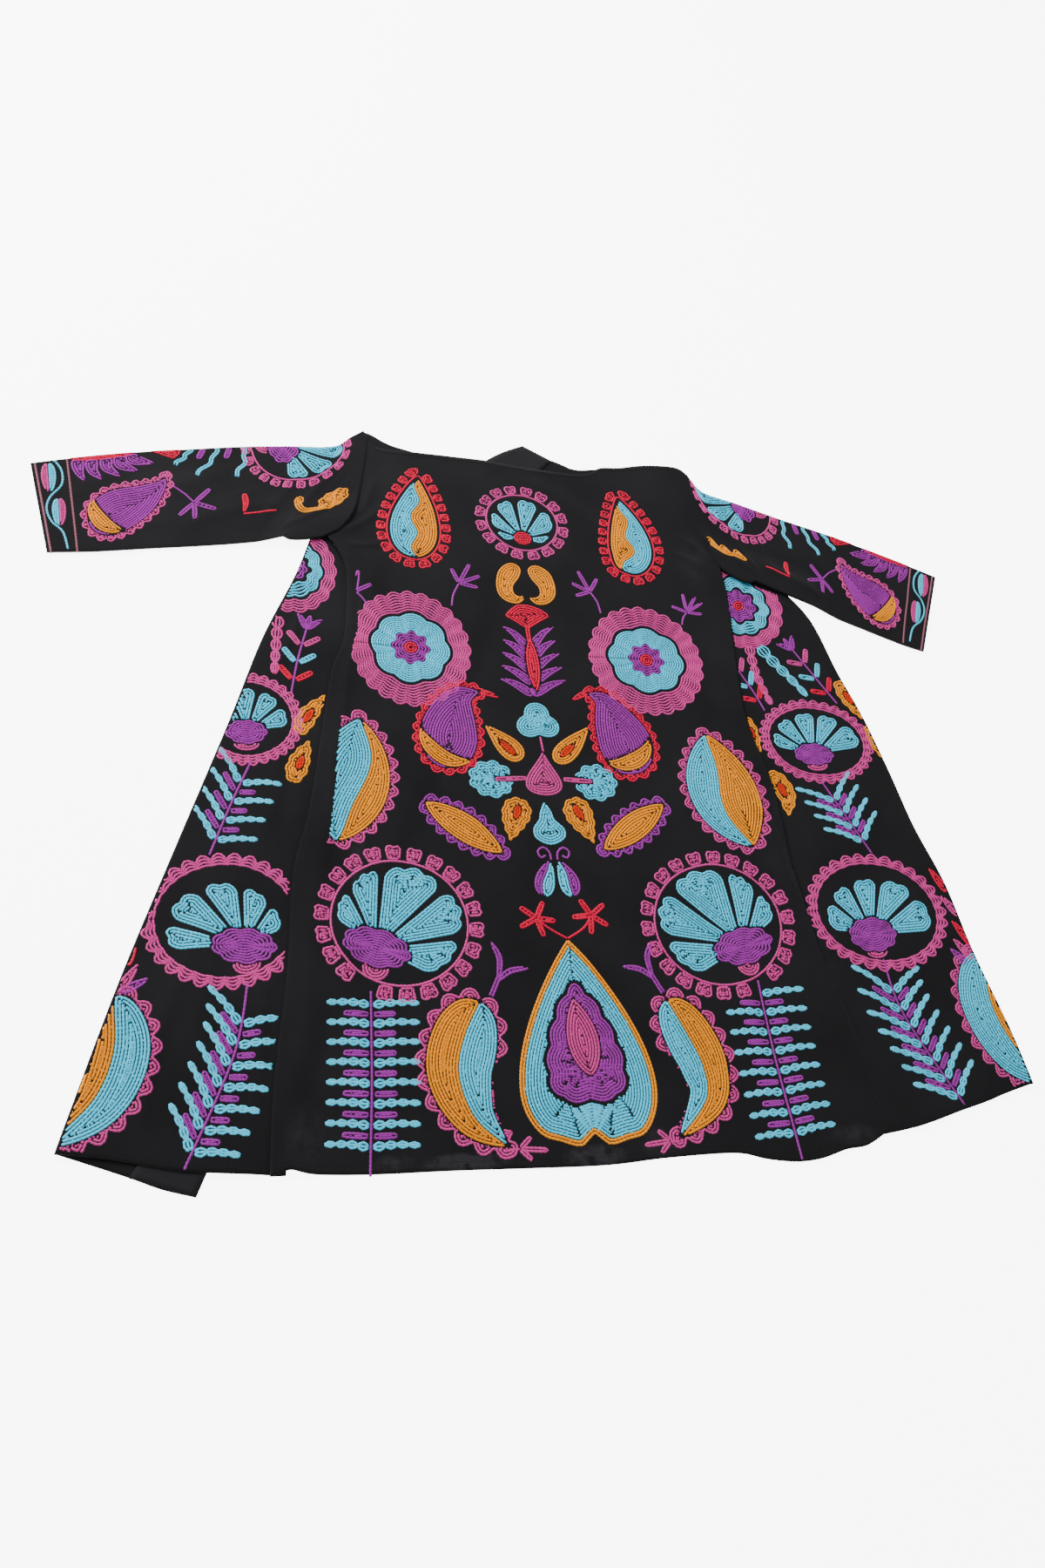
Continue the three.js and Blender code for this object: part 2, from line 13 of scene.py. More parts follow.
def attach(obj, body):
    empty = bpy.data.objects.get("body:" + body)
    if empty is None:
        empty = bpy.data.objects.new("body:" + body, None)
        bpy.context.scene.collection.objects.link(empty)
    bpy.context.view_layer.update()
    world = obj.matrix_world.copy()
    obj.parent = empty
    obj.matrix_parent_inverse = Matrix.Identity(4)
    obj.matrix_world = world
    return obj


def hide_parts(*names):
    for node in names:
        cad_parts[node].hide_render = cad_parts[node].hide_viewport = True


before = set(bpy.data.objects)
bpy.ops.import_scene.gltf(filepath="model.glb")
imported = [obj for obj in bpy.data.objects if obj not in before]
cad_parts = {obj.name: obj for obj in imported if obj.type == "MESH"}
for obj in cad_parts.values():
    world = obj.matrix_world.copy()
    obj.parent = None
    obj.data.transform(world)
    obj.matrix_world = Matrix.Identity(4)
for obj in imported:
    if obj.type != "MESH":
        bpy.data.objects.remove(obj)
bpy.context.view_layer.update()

bl_info = {
    "name": "Duster Coat",
    "version": (1, 0, 0),
    "blender": (4, 5, 0),
    "location": "View3D > Sidebar > Coat",
    "description": "Builds an embroidered duster coat, laid out face down",
    "category": "Add Mesh",
}

MM = 0.001
TABLE_TO_FRAME = np.array([-0.47, 4.5, 0.0])  # from the drawing table's origin to the frame's, in mm

# ---- layers, in mm ----
CLOTH = 1.4  # room that an upper layer takes in height
UNDER = 1.8  # room of a layer that lies on the surface
FACING = 1.0
SEAM_GAP = 0.3
LAP = 14  # how far the back's folded edges lap over the fronts
LAP_RADIUS = 1.1
SIDE_RADIUS = 2.2
SLEEVE_RADIUS = 1.5
THREAD_ROOM = 0.8  # beneath the cloth that lies on the surface, for the thread on its outer face
FLOOR_MID = CLOTH / 2
UNDER_MID = UNDER / 2
FACING_MID = UNDER + SEAM_GAP + FACING / 2
UPPER_MID = FACING_MID + FACING / 2 + SEAM_GAP + CLOTH / 2
LAP_STEP = CLOTH + 0.8
LAP_RISE = LAP_STEP + 2 * LAP_RADIUS
SLEEVE_LIFT = UNDER_MID + 2 * SIDE_RADIUS + CLOTH + SEAM_GAP - FLOOR_MID

# ---- outlines in mm: x and y, from the neck down, and hems from left to right ----
ARMHOLE = {
    "left": [(-209, 479), (-204, 464), (-208, 424), (-222, 352), (-240, 314), (-262, 297)],
    "right": [(253, 458), (254, 410), (257, 365), (262, 330), (273, 296)],
}
BACK_TOP = [
    (-209, 479), (-202, 464), (-190, 452), (-147, 450), (-100, 450), (-50, 449), (0, 444), (48, 440),
    (80, 439), (105, 444), (122, 455), (151, 459), (185, 467), (220, 470), (241, 468), (253, 458),
]
BACK_EDGE = {
    "left": [
        (-262, 297), (-246, 270), (-239, 240), (-241, 190), (-246, 143), (-261, 98), (-274, 18), (-291, -85),
        (-309, -160), (-317, -274), (-331, -390), (-335, -477),
    ],
    "right": [
        (273, 296), (275, 256), (273, 205), (269, 140), (267, 80), (269, 44), (277, 8), (286, -43),
        (288, -90), (289, -150), (295, -202), (305, -264), (323, -342), (335, -410), (337, -468),
    ],
}
HEM_BACK = [
    (-335, -477), (-326, -475), (-316, -472), (-292, -477), (-235, -480), (-147, -481), (0, -484), (78, -480),
    (155, -479), (190, -487), (225, -492), (256, -490), (287, -482), (313, -479), (337, -468),
]
SIDE_FOLD = {
    "left": [
        (-280, 303), (-301, 238), (-342, 140), (-379, 26), (-430, -122), (-481, -272), (-522, -408),
        (-533, -446),
    ],
    "right": [
        (362, 270), (397, 219), (419, 137), (440, 72), (459, -9), (475, -89), (498, -167), (513, -258),
        (535, -354), (546, -420),
    ],
}
FRONT_TOP = {
    "left": [(-209, 479), (-199, 477), (-176, 463), (-149, 455), (-100, 444)],
    "right": [
        (253, 458), (241, 468), (220, 470), (185, 467), (151, 459), (122, 455), (85, 450), (63, 459),
        (45, 465), (12, 483),
    ],
}
FRONT_EDGE = {
    "left": [
        (-100, 444), (-84, 400), (-86, 310), (-115, 190), (-188, 0), (-275, -200), (-350, -370), (-403, -492),
    ],
    "right": [
        (12, 483), (-24, 464), (-48, 440), (-44, 395), (-18, 330), (35, 220), (140, 0), (250, -195),
        (345, -345), (412, -436),
    ],
}
HEM_UPPER = {
    "left": [(-321, -482), (-335, -480), (-398, -473), (-434, -467), (-483, -455), (-533, -446)],
    "right": [(337, -468), (386, -461), (442, -447), (479, -438), (510, -429), (546, -420)],
}
HEM_UNDER = {
    "left": [(-533, -446), (-500, -458), (-465, -471), (-435, -483), (-403, -492)],
    "right": [(546, -420), (500, -426), (455, -431), (412, -436)],
}
FACING_INNER = {
    "left": [
        (-160, 440), (-148, 400), (-150, 305), (-178, 178), (-250, -22), (-338, -222), (-412, -385),
        (-465, -471),
    ],
    "right": [
        (52, 461), (26, 430), (20, 400), (42, 340), (97, 235), (200, 18), (306, -170), (405, -325),
        (470, -429),
    ],
}
# Sleeves, from cuff to armhole: x and y of the top fold, then of the bottom fold.
SLEEVE = {
    "left": [
        (-616, 375, -588, 244), (-560, 391, -535, 250), (-495, 407, -475, 260), (-440, 418, -425, 268),
        (-373, 431, -375, 277), (-310, 440, -325, 288), (-250, 447, -290, 297), (-226, 466, -272, 299),
        (-209, 479, -262, 297),
    ],
    "right": [
        (617, 313, 562, 181), (579, 328, 529, 191), (520, 350, 470, 214), (455, 373, 415, 236),
        (388, 393, 367, 256), (323, 414, 325, 274), (277, 427, 294, 288), (262, 440, 282, 293),
        (253, 458, 273, 296),
    ],
}
# Where a sleeve rises over its front: x of the underarm, and how far out of it the rise is full and gone.
SLEEVE_REST = {
    "left": {"underarm": -262, "full": 45, "none": 90},
    "right": {"underarm": 273, "full": 125, "none": 175},
}
OUTWARD = {"left": -1, "right": 1}

# ---- folds and creases in mm ----
# Large folds: centre x and y, half sizes, turn in degrees, height.
SWELLS = [
    (258, -400, 36, 120, -12, 4.2), (310, -350, 26, 120, 10, 2.4), (180, 395, 60, 42, 0, 2),
    (-60, -240, 34, 200, 8, 1), (110, -60, 38, 220, -8, 1),
]
# The flattened tuck beside the back's left edge: y, x of its inner side, height.
TUCK_LEFT = [
    (300, -226, 0.5), (160, -228, 0.9), (100, -244, 1.6), (0, -256, 1.6), (-100, -266, 0.9),
    (-200, -290, 0.3), (-480, -310, 0.3),
]
CREASE_RELIEF = 1.7
# Creases: x and y of both ends, bow, half width, height (troughs are negative).
CREASES_BACK = [
    (262, -34, 292, -190, 6, 3, -0.7), (250, -30, 282, -200, 5, 9, 1.6),
    (-227, 300, -231, 120, 2, 3.5, -0.6), (-248, 120, -266, -150, 2, 3, -0.7),
    (-205, 300, -214, 60, 5, 12, 1), (-60, 420, -30, 120, 8, 16, 0.9),
    (60, 410, 40, 180, -8, 18, 0.8), (-180, 420, -120, 330, 8, 14, 1),
    (215, 350, 262, 300, 4, 5, 1.3), (205, 318, 258, 288, 4, 4.5, 1.1),
    (222, 390, 250, 320, -4, 6, 1), (-190, 352, -246, 306, 4, 5.5, 1.2),
    (-182, 300, -240, 286, 3, 4.5, 1), (-198, 400, -226, 330, 5, 6, 0.9),
    (-250, -180, -225, -470, -10, 14, 1.3), (-150, -150, -140, -478, 8, 20, 1.1),
    (20, -120, 8, -300, 6, 15, 0.9), (90, -330, 120, -480, 6, 16, 1.2),
    (-40, -380, -60, -484, 4, 14, 0.9), (180, -200, 205, -470, 10, 14, 1.2),
    (228, -240, 216, -470, -8, 9, -0.8), (290, -210, 330, -440, 8, 6, 1.2),
    (130, 60, 170, -120, -8, 14, 0.8), (-120, 60, -100, -130, 8, 15, 0.9),
    (-20, 60, 20, -60, 5, 12, 0.6), (200, 180, 236, 60, -6, 10, 0.9), (-60, 445, 60, 436, -4, 5, 0.6),
    (-10, 430, 120, 330, 14, 12, 0.8), (150, -360, 165, -482, 2, 7, -0.6),
    (-95, 200, -60, -20, -10, 20, 0.8),
]
CREASES_FRONT = {
    "left": [
        (-276, 270, -330, 90, 8, 6, 1), (-268, 250, -300, 150, -4, 4, -0.6),
        (-270, 296, -262, 240, 3, 4, 1.2), (-330, 60, -350, -160, 8, 14, 1),
        (-350, -120, -420, -420, -12, 16, 1.2), (-300, 40, -326, -120, 4, 8, -0.5),
        (-390, -160, -470, -400, 6, 12, 1.1), (-340, -250, -360, -470, 6, 9, 0.9),
        (-440, -300, -455, -450, -4, 8, 0.8), (-410, -380, -425, -468, 2, 6, -0.5),
    ],
    "right": [
        (282, 285, 352, 180, 10, 6, 1.2), (284, 280, 318, 190, -5, 4.5, 1.2),
        (279, 284, 290, 200, 4, 4, -0.6), (300, 270, 372, 232, 4, 5, 1.1),
        (330, 160, 360, -40, 8, 14, 1), (300, 60, 312, -90, -6, 8, 0.8),
        (366, -60, 410, -300, -10, 15, 1.2), (420, -120, 470, -400, 8, 12, 1.1),
        (340, -200, 372, -440, 8, 10, 1.1), (352, -260, 390, -450, 8, 5, -0.5),
        (440, -280, 500, -420, 5, 8, 0.9), (400, 90, 430, -60, 4, 8, 0.7),
    ],
}
# Sleeve creases, in mm from the cuff and from the top fold.
CREASES_SLEEVE = {
    "left": [
        (400, 20, 340, 128, 10, 6, 1.1), (372, 20, 296, 130, 12, 8, 0.8),
        (408, 100, 330, 136, 4, 5, 1.2), (330, 96, 190, 118, 10, 9, 0.9),
        (260, 30, 120, 60, -8, 12, 0.8), (180, 110, 60, 122, 6, 8, 0.7),
        (120, 20, 30, 70, 8, 10, 0.6), (412, 60, 372, 100, 4, 4, -0.5),
        (300, 60, 210, 84, 6, 6, -0.4),
    ],
    "right": [
        (392, 30, 340, 130, 10, 6, 1.1), (360, 14, 300, 120, 12, 8, 0.9),
        (398, 106, 330, 138, 4, 5, 1.3), (330, 100, 200, 126, 8, 9, 1),
        (250, 40, 110, 74, -8, 12, 0.8), (170, 112, 60, 128, 6, 8, 0.7),
        (376, 84, 320, 112, 4, 4, -0.5), (110, 30, 30, 80, 8, 10, 0.6),
        (300, 70, 200, 92, 6, 6, -0.4),
    ],
}
# Lengths in mm that the rows and columns of the grids are counted from.
ARMHOLE_LENGTH, BACK_SIDE, FRONT_SIDE, BACK_WIDTH, UPPER_WIDTH, UNDER_WIDTH = 185, 790, 760, 600, 225, 110
SLEEVE_LENGTH, SLEEVE_WIDTH, FACING_LENGTH = 430, 140, 990
LAP_ROLL_STEPS, SLEEVE_ROLL_STEPS, SIDE_ROLL_STEPS = 7, 7, 9  # steps round each kind of fold
SURFACE_STEP = 4.0  # between the points of a sleeve that sewing is laid on
FACING_STEP, FACING_WALL = 6.0, 0.7
SEAM_RADIUS, SEAM_SUNK, STITCH_RADIUS = 0.95, 0.25, 0.32
HEM_DEPTH, NECK_DEPTH = 9, 6  # from the edges to their stitch lines
SEWN_LENGTH = (1.5, 424)  # where a sleeve is embroidered, from the cuff
WEAVE = 0.0009  # from one thread of the weave to the next, in metres
REST_MARGIN, REST_SLOPE = 36, 34  # from a front's edge to where the back comes down
LAP_MARGIN, LAP_SLOPE = 4, 32  # the same, from the inner end of a lap
TUCK_SLOPE, TUCK_TOP = 12, 258
SIDE_FOLD_REACH = 34  # how far the swell of a side fold reaches into its front
LAP_START = (294, 260)  # y where the lap begins, and where it is full
LAP_HEIGHT_START = (370, 300)
RIGHT_LAP_END = (-60, -185, -270)  # y where the right lap is full, gone, and flat
LAP_LEAST = 0.15
# Dusty patches of wear by the hems, and painted highlights on the left fold edge and the creases by the right
# underarm: x, y, half sizes and strength.
DUST_AND_HIGHLIGHT_PATCHES = [
    (-140, -474, 40, 9, 1.0), (-2, -475, 30, 11, 0.9), (70, -464, 18, 14, 0.4), (-215, -470, 20, 7, 0.4),
    (300, -466, 26, 10, 0.4), (236, 300, 22, 40, 0.12), (-238, -130, 9, 60, 0.2), (-300, -440, 18, 28, 0.2),
]
LIFT_FROM, LIFT_REACH = 0.5, 0.32  # where across a sleeve it starts to rise over its front
UNDERARM_SAG = {"left": 11, "right": 12}  # how far a sleeve's lower edge hangs by its armhole
UNDERARM_SAG_FROM = 0.84  # share of the sleeve's length where that begins
UNDERARM_RISE, UNDERARM_REACH = 14, 36  # how far a front runs up beneath its sleeve, and what that fades over


# ---- curves and heights ----
def smooth(t):
    """Smooth step: 3t² - 2t³ between 0 and 1."""
    t = np.clip(t, 0.0, 1.0)
    return t * t * (3 - 2 * t)


def lerp(a, b, t):
    """Straight blend from a to b."""
    return a + (b - a) * t


def shares(count):
    """Even shares from 0 to 1."""
    return np.linspace(0, 1, count)


def unit(vectors):
    """Vectors brought to a length of 1."""
    return vectors / np.maximum(np.linalg.norm(vectors, axis=-1, keepdims=True), 1e-9)


def directions(line):
    """Direction of a line at each of its points."""
    return unit(np.gradient(line, axis=0))


def left_of(along):
    """Directions in plan turned a quarter to the left."""
    return np.stack([-along[:, 1], along[:, 0]], -1)


class PlanCurve:
    """A Catmull-Rom curve through a table's points."""

    def __init__(self, rows):
        knots = np.array(rows, float)
        last = len(knots) - 1
        t = np.linspace(0, last, 60 * last + 1)
        i = np.minimum(t.astype(int), last - 1)
        w = (t - i)[:, None]
        before, start = knots[np.maximum(i - 1, 0)], knots[i]
        end, after = knots[i + 1], knots[np.minimum(i + 2, last)]
        slope_in, slope_out = (end - before) / 2, (after - start) / 2
        self.points = (
            start + slope_in * w
            + (3 * (end - start) - 2 * slope_in - slope_out) * w**2
            + (2 * (start - end) + slope_in + slope_out) * w**3
        )
        steps = np.hypot(*np.diff(self.points, axis=0).T)
        self.share = np.concatenate([[0], np.cumsum(steps)]) / steps.sum()

    def at(self, u):
        """Points at shares u of the curve's length."""
        return np.stack([np.interp(u, self.share, self.points[:, k]) for k in (0, 1)], -1)


def column_at(rows, y, column=0):
    """Value of a column at y, straight between rows that run from high y to low y."""
    table = np.array(rows, float)[::-1]
    y_column = 0 if table.shape[1] == 3 else 1
    return np.interp(y, table[:, y_column], table[:, column])


def coons(left, right, top, bottom, u, v):
    """Coons patch at shares u (across) and v (down): both ruled surfaces, less the bilinear one."""
    u, v = u[..., None], v[..., None]
    across = lerp(left, right, u)
    down = lerp(top.at(u[..., 0]), bottom.at(u[..., 0]), v)
    corners = lerp(lerp(top.at(0.0), top.at(1.0), u), lerp(bottom.at(0.0), bottom.at(1.0), u), v)
    return across + down - corners


def swell(x, y):
    """Height of the large folds: each is a turned Gaussian hill."""
    height = np.zeros_like(x)
    for cx, cy, half_x, half_y, turn, rise in SWELLS:
        c, s = np.cos(np.radians(turn)), np.sin(np.radians(turn))
        across, along = c * (x - cx) + s * (y - cy), c * (y - cy) - s * (x - cx)
        height += rise * np.exp(-((across / half_x) ** 2) - (along / half_y) ** 2)
    return height


def creased(x, y, creases):
    """Height of creases: each follows a bowed line, is Gaussian across it and fades at both ends."""
    height = np.zeros_like(x)
    for x0, y0, x1, y1, bow, width, rise in creases:
        dx, dy = x1 - x0, y1 - y0
        length = np.hypot(dx, dy)
        along = ((x - x0) * dx + (y - y0) * dy) / length**2
        across = ((y - y0) * dx - (x - x0) * dy) / length - 4 * bow * along * (1 - along)
        fade = smooth(along / 0.35 + 0.2) * smooth((1 - along) / 0.35 + 0.2)
        height += CREASE_RELIEF * rise * fade * np.exp(-((across / width) ** 2))
    return height


def unevenness(x, y):
    """Low waves of cloth that was folded and shaken out: three sines that cross each other."""
    return (
        0.34 * np.sin(x / 31 + 1.3 * np.sin(y / 73)) + 0.3 * np.sin(y / 42 + x / 57 + 0.8)
        + 0.26 * np.sin(x / 19 - y / 47 + np.sin(y / 29))
    )


def lap_share(side, y):
    """Share of the full lap at y: it grows below the underarm, and on the right it ends above the hem."""
    share = smooth((LAP_START[0] - y) / (LAP_START[0] - LAP_START[1]))
    full, none, _ = RIGHT_LAP_END
    return share * smooth((y - none) / (full - none)) if side == "right" else share


def lap_height(side, y):
    """Share of the lap's height at y."""
    share = smooth((LAP_HEIGHT_START[0] - y) / (LAP_HEIGHT_START[0] - LAP_HEIGHT_START[1]))
    _, none, flat = RIGHT_LAP_END
    return share * smooth((y - flat) / (none - flat)) if side == "right" else share


def rest_mid(x, y):
    """Middle of an upper layer: low between the fronts' edges, above the under layers elsewhere."""
    from_left = smooth((x - column_at(FRONT_EDGE["left"], y) - REST_MARGIN) / REST_SLOPE)
    from_right = smooth((column_at(FRONT_EDGE["right"], y) - REST_MARGIN - x) / REST_SLOPE)
    return lerp(UPPER_MID, FLOOR_MID, from_left * from_right)


def tuck_rise(x, y):
    """Height of the flattened tuck beside the left edge."""
    inner, height = column_at(TUCK_LEFT, y, 1), column_at(TUCK_LEFT, y, 2)
    return height * (1 - smooth((x - inner) / TUCK_SLOPE))


def back_mid(x, y):
    """Middle of the back's upper face at a plan point."""
    inset_left = x - column_at(BACK_EDGE["left"], y)
    inset_right = column_at(BACK_EDGE["right"], y) - x
    lap_left = lap_height("left", y) * (1 - smooth((inset_left - LAP - LAP_MARGIN) / LAP_SLOPE))
    lap_right = lap_height("right", y) * (1 - smooth((inset_right - LAP - LAP_MARGIN) / LAP_SLOPE))
    inside = smooth(inset_left / 12 + 0.2) * smooth(inset_right / 12 + 0.2)
    relief = creased(x, y, CREASES_BACK) + unevenness(x, y)
    rise = np.maximum(lap_left, lap_right) * LAP_RISE
    return rest_mid(x, y) + rise + tuck_rise(x, y) + swell(x, y) + inside * np.maximum(relief + 0.25, -0.25)


def front_mid(side, x, y):
    """Middle of a front's upper layer at a plan point."""
    fold = column_at(SIDE_FOLD[side], y)
    to_fold = np.maximum(OUTWARD[side] * (fold - x) - SIDE_RADIUS - UNDER / 2, 0)
    rise = (UNDER_MID + 2 * SIDE_RADIUS - UPPER_MID) * (1 - smooth(to_fold / SIDE_FOLD_REACH))
    beneath_lap = smooth((OUTWARD[side] * (x - column_at(BACK_EDGE[side], y)) - 2) / 10)
    relief = np.maximum(creased(x, y, CREASES_FRONT[side]) + unevenness(x, y), -0.5)
    swelled = swell(x, y) * (1 - np.ceil(lap_height(side, y)))
    return rest_mid(x, y) + rise + swelled + relief * beneath_lap * smooth(to_fold / 10)


# ---- surfaces made into meshes ----
def place(points):
    """From the drawing table, in mm, into the frame, in metres."""
    return (np.asarray(points, float) + TABLE_TO_FRAME) * MM


def add_object(name, data):
    """An object of the scene, at the origin."""
    thing = bpy.data.objects.new(name, data)
    bpy.context.scene.collection.objects.link(thing)
    return thing


def new_piece(name, points, faces, material, uv=None, tone=None):
    """A mesh object at the origin, from points in mm and quads or triangles, on the coat's body."""
    mesh = bpy.data.meshes.new(name)
    sides = faces.shape[1]
    mesh.vertices.add(len(points))
    mesh.vertices.foreach_set("co", place(points).astype(np.float32).ravel())
    mesh.loops.add(faces.size)
    mesh.loops.foreach_set("vertex_index", faces.astype(np.int32).ravel())
    mesh.polygons.add(len(faces))
    mesh.polygons.foreach_set("loop_start", np.arange(0, faces.size, sides, dtype=np.int32))
    mesh.polygons.foreach_set("loop_total", np.full(len(faces), sides, dtype=np.int32))
    mesh.polygons.foreach_set("use_smooth", np.ones(len(faces), dtype=bool))
    if uv is not None:
        layer = mesh.uv_layers.new(name="thread")
        layer.data.foreach_set("uv", uv[faces].astype(np.float32).ravel())
    if tone is not None:
        colours = mesh.attributes.new("tone", "FLOAT_COLOR", "POINT")
        colours.data.foreach_set("color", tone.astype(np.float32).ravel())
    mesh.update(calc_edges=True)
    mesh.validate()
    mesh.materials.append(material)
    piece = add_object(name, mesh)
    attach(piece, "root")
    return piece


def cloth_wall(grid, wall, closed=False):
    """Points and quads of a closed wall on a grid of middle points: each moves half the wall along the normal
    to either side, and a rim joins the sides along every free edge. Where the points are no numbers there is
    no cloth. A closed grid joins its last column to its first.
    """
    rows, columns = grid.shape[:2]
    used = np.isfinite(grid[..., 0])
    number = np.full((rows, columns), -1)
    number[used] = np.arange(used.sum())
    points = grid[used]
    if closed:
        number = np.concatenate([number, number[:, :1]], axis=1)
    corners = np.stack([number[:-1, :-1], number[1:, :-1], number[1:, 1:], number[:-1, 1:]], -1)
    quads = corners[(corners >= 0).all(axis=-1)]
    a, b, c, d = (points[quads[:, k]] for k in range(4))
    face_normals = np.cross(c - a, d - b)
    normals = np.zeros_like(points)
    for k in range(4):
        np.add.at(normals, quads[:, k], face_normals)
    out = unit(normals) * wall / 2
    skins = np.concatenate([points + out, points - out])
    edges = np.concatenate([quads[:, [k, (k + 1) % 4]] for k in range(4)])
    keys = edges[:, 0] * len(points) + edges[:, 1]
    free = edges[~np.isin(keys, edges[:, 1] * len(points) + edges[:, 0])]
    rim = np.stack([free[:, 1], free[:, 0], free[:, 0] + len(points), free[:, 1] + len(points)], -1)
    return skins, np.concatenate([quads, quads[:, ::-1] + len(points), rim])


def with_height(plan, height):
    """Plan points with their heights."""
    return np.concatenate([plan, height[..., None]], -1)


def roll_points(start, direction, base, radius, angles):
    """Points round a fold: from a start in plan, out along a direction and up as the angle grows."""
    out = start[:, None, :] + direction[:, None, :] * (radius * np.sin(angles))[None, :, None]
    return with_height(out, base[:, None] + radius * (1 - np.cos(angles))[None, :])


# ---- the back ----
def strip_mid(x, y):
    """Middle of the strip that is folded under at a side of the back."""
    return rest_mid(x, y) + LAP_STEP + tuck_rise(x, y) + swell(x, y)


def back_grid(step):
    """Middle points of the back: a Coons patch between its edges, and beside it strips that are folded under
    round half circles.
    """
    armhole_rows, side_rows, columns = (int(n / step) for n in (ARMHOLE_LENGTH, BACK_SIDE, BACK_WIDTH))
    down = shares(side_rows + 1)[1:]
    sides = {}
    for side in OUTWARD:
        armhole, edge = PlanCurve(ARMHOLE[side]), PlanCurve(BACK_EDGE[side])
        sides[side] = np.concatenate([armhole.at(shares(armhole_rows + 1)), edge.at(down)])
        sides[side][:, 0] -= OUTWARD[side] * SEAM_GAP / 2
    rows = armhole_rows + side_rows + 1
    lapped_row = np.arange(rows) >= armhole_rows
    fold_inset = LAP_RADIUS + CLOTH / 2
    across = {}
    strips = {}
    for side, edge in sides.items():
        share = lap_share(side, edge[:, 1])
        lapped = lapped_row & (share >= LAP_LEAST)
        start = edge.copy()
        start[:, 0] -= OUTWARD[side] * fold_inset * lapped
        across[side] = start
        strip_x = start[:, :1] - OUTWARD[side] * LAP * share[:, None] * np.linspace(1, 0.25, 4)[None, :]
        strip_y = np.broadcast_to(start[:, 1:], strip_x.shape)
        strip = np.stack([strip_x, strip_y, strip_mid(strip_x, strip_y)], -1)
        direction = np.tile([OUTWARD[side], 0.0], (rows, 1))
        angles = np.linspace(0, np.pi, LAP_ROLL_STEPS + 1)[:-1]
        base = strip_mid(start[:, 0], start[:, 1])
        roll = roll_points(start, direction, base, LAP_RADIUS, angles)
        strips[side] = np.concatenate([strip, roll], axis=1)
        strips[side][~lapped] = np.nan
    u = shares(columns + 1)
    u = u - 0.55 * np.sin(2 * np.pi * u) / (2 * np.pi)
    u, v = np.meshgrid(u, shares(rows))
    left, right = across["left"][:, None, :], across["right"][:, None, :]
    plan = coons(left, right, PlanCurve(BACK_TOP), PlanCurve(HEM_BACK), u, v)
    face = with_height(plan, back_mid(plan[..., 0], plan[..., 1]))
    return np.concatenate([strips["left"], face, strips["right"][:, ::-1]], axis=1)


# ---- the fronts ----
def front_grid(side, step):
    """Middle points of a front, as one cloth: Coons patches for its upper layer and the layer beneath, joined
    by half an ellipse round the side fold.
    """
    outward = OUTWARD[side]
    inset = SIDE_RADIUS + UNDER / 2
    armhole_rows, side_rows = int(ARMHOLE_LENGTH / step), int(FRONT_SIDE / step)
    upper_columns, under_columns = int(UPPER_WIDTH / step), int(UNDER_WIDTH / step)
    armhole = PlanCurve(ARMHOLE[side]).at(shares(armhole_rows + 1))
    armhole[:, 0] += outward * SEAM_GAP / 2
    down = shares(side_rows + 1)
    fold = PlanCurve(SIDE_FOLD[side]).at(down)
    seam = PlanCurve(BACK_EDGE[side]).at(down)
    share = lap_share(side, seam[:, 1])
    seam[:, 0] += np.where(share < LAP_LEAST, outward * SEAM_GAP / 2, -outward * LAP * share)
    outer = np.concatenate([armhole, fold])
    folded = np.arange(len(outer)) > armhole_rows
    roll_start = outer.copy()
    roll_start[:, 0] -= outward * inset * folded
    edge = PlanCurve(FRONT_EDGE[side]).at(shares(len(outer)))
    u, v = np.meshgrid(shares(under_columns + 1), shares(len(outer)))
    ends = roll_start[:, None, :], edge[:, None, :]
    under_plan = coons(*ends, PlanCurve(FRONT_TOP[side]), PlanCurve(HEM_UNDER[side]), u, v)
    under = with_height(under_plan, np.full(u.shape, (UNDER + THREAD_ROOM) / 2))
    hem_top = PlanCurve([seam[0], fold[0] - [outward * inset, 0]])
    u, v = np.meshgrid(shares(upper_columns + 1), down)
    start = roll_start[folded]
    ends = seam[:, None, :], start[:, None, :]
    upper_plan = coons(*ends, hem_top, PlanCurve(HEM_UPPER[side]), u, v)
    beneath_sleeve = 1 - smooth(v * side_rows * step / UNDERARM_REACH)
    upper_plan[..., 1] += UNDERARM_RISE * beneath_sleeve * smooth(4 * (1 - u))
    upper = with_height(upper_plan, front_mid(side, upper_plan[..., 0], upper_plan[..., 1]))
    angles = np.linspace(0, np.pi, SIDE_ROLL_STEPS + 1)[1:-1]
    low, high = under[folded, 0, 2, None], upper[:, -1, 2, None]
    roll_plan = start[:, None, :] + np.array([outward * SIDE_RADIUS, 0]) * np.sin(angles)[None, :, None]
    roll = with_height(roll_plan, low + (high - low) * ((1 - np.cos(angles)) / 2)[None, :])
    top = np.concatenate([upper, roll[:, ::-1]], axis=1)
    grid = np.full((len(outer), top.shape[1] + under.shape[1], 3), np.nan)
    grid[folded, : top.shape[1]] = top
    grid[:, top.shape[1]:] = under
    return grid


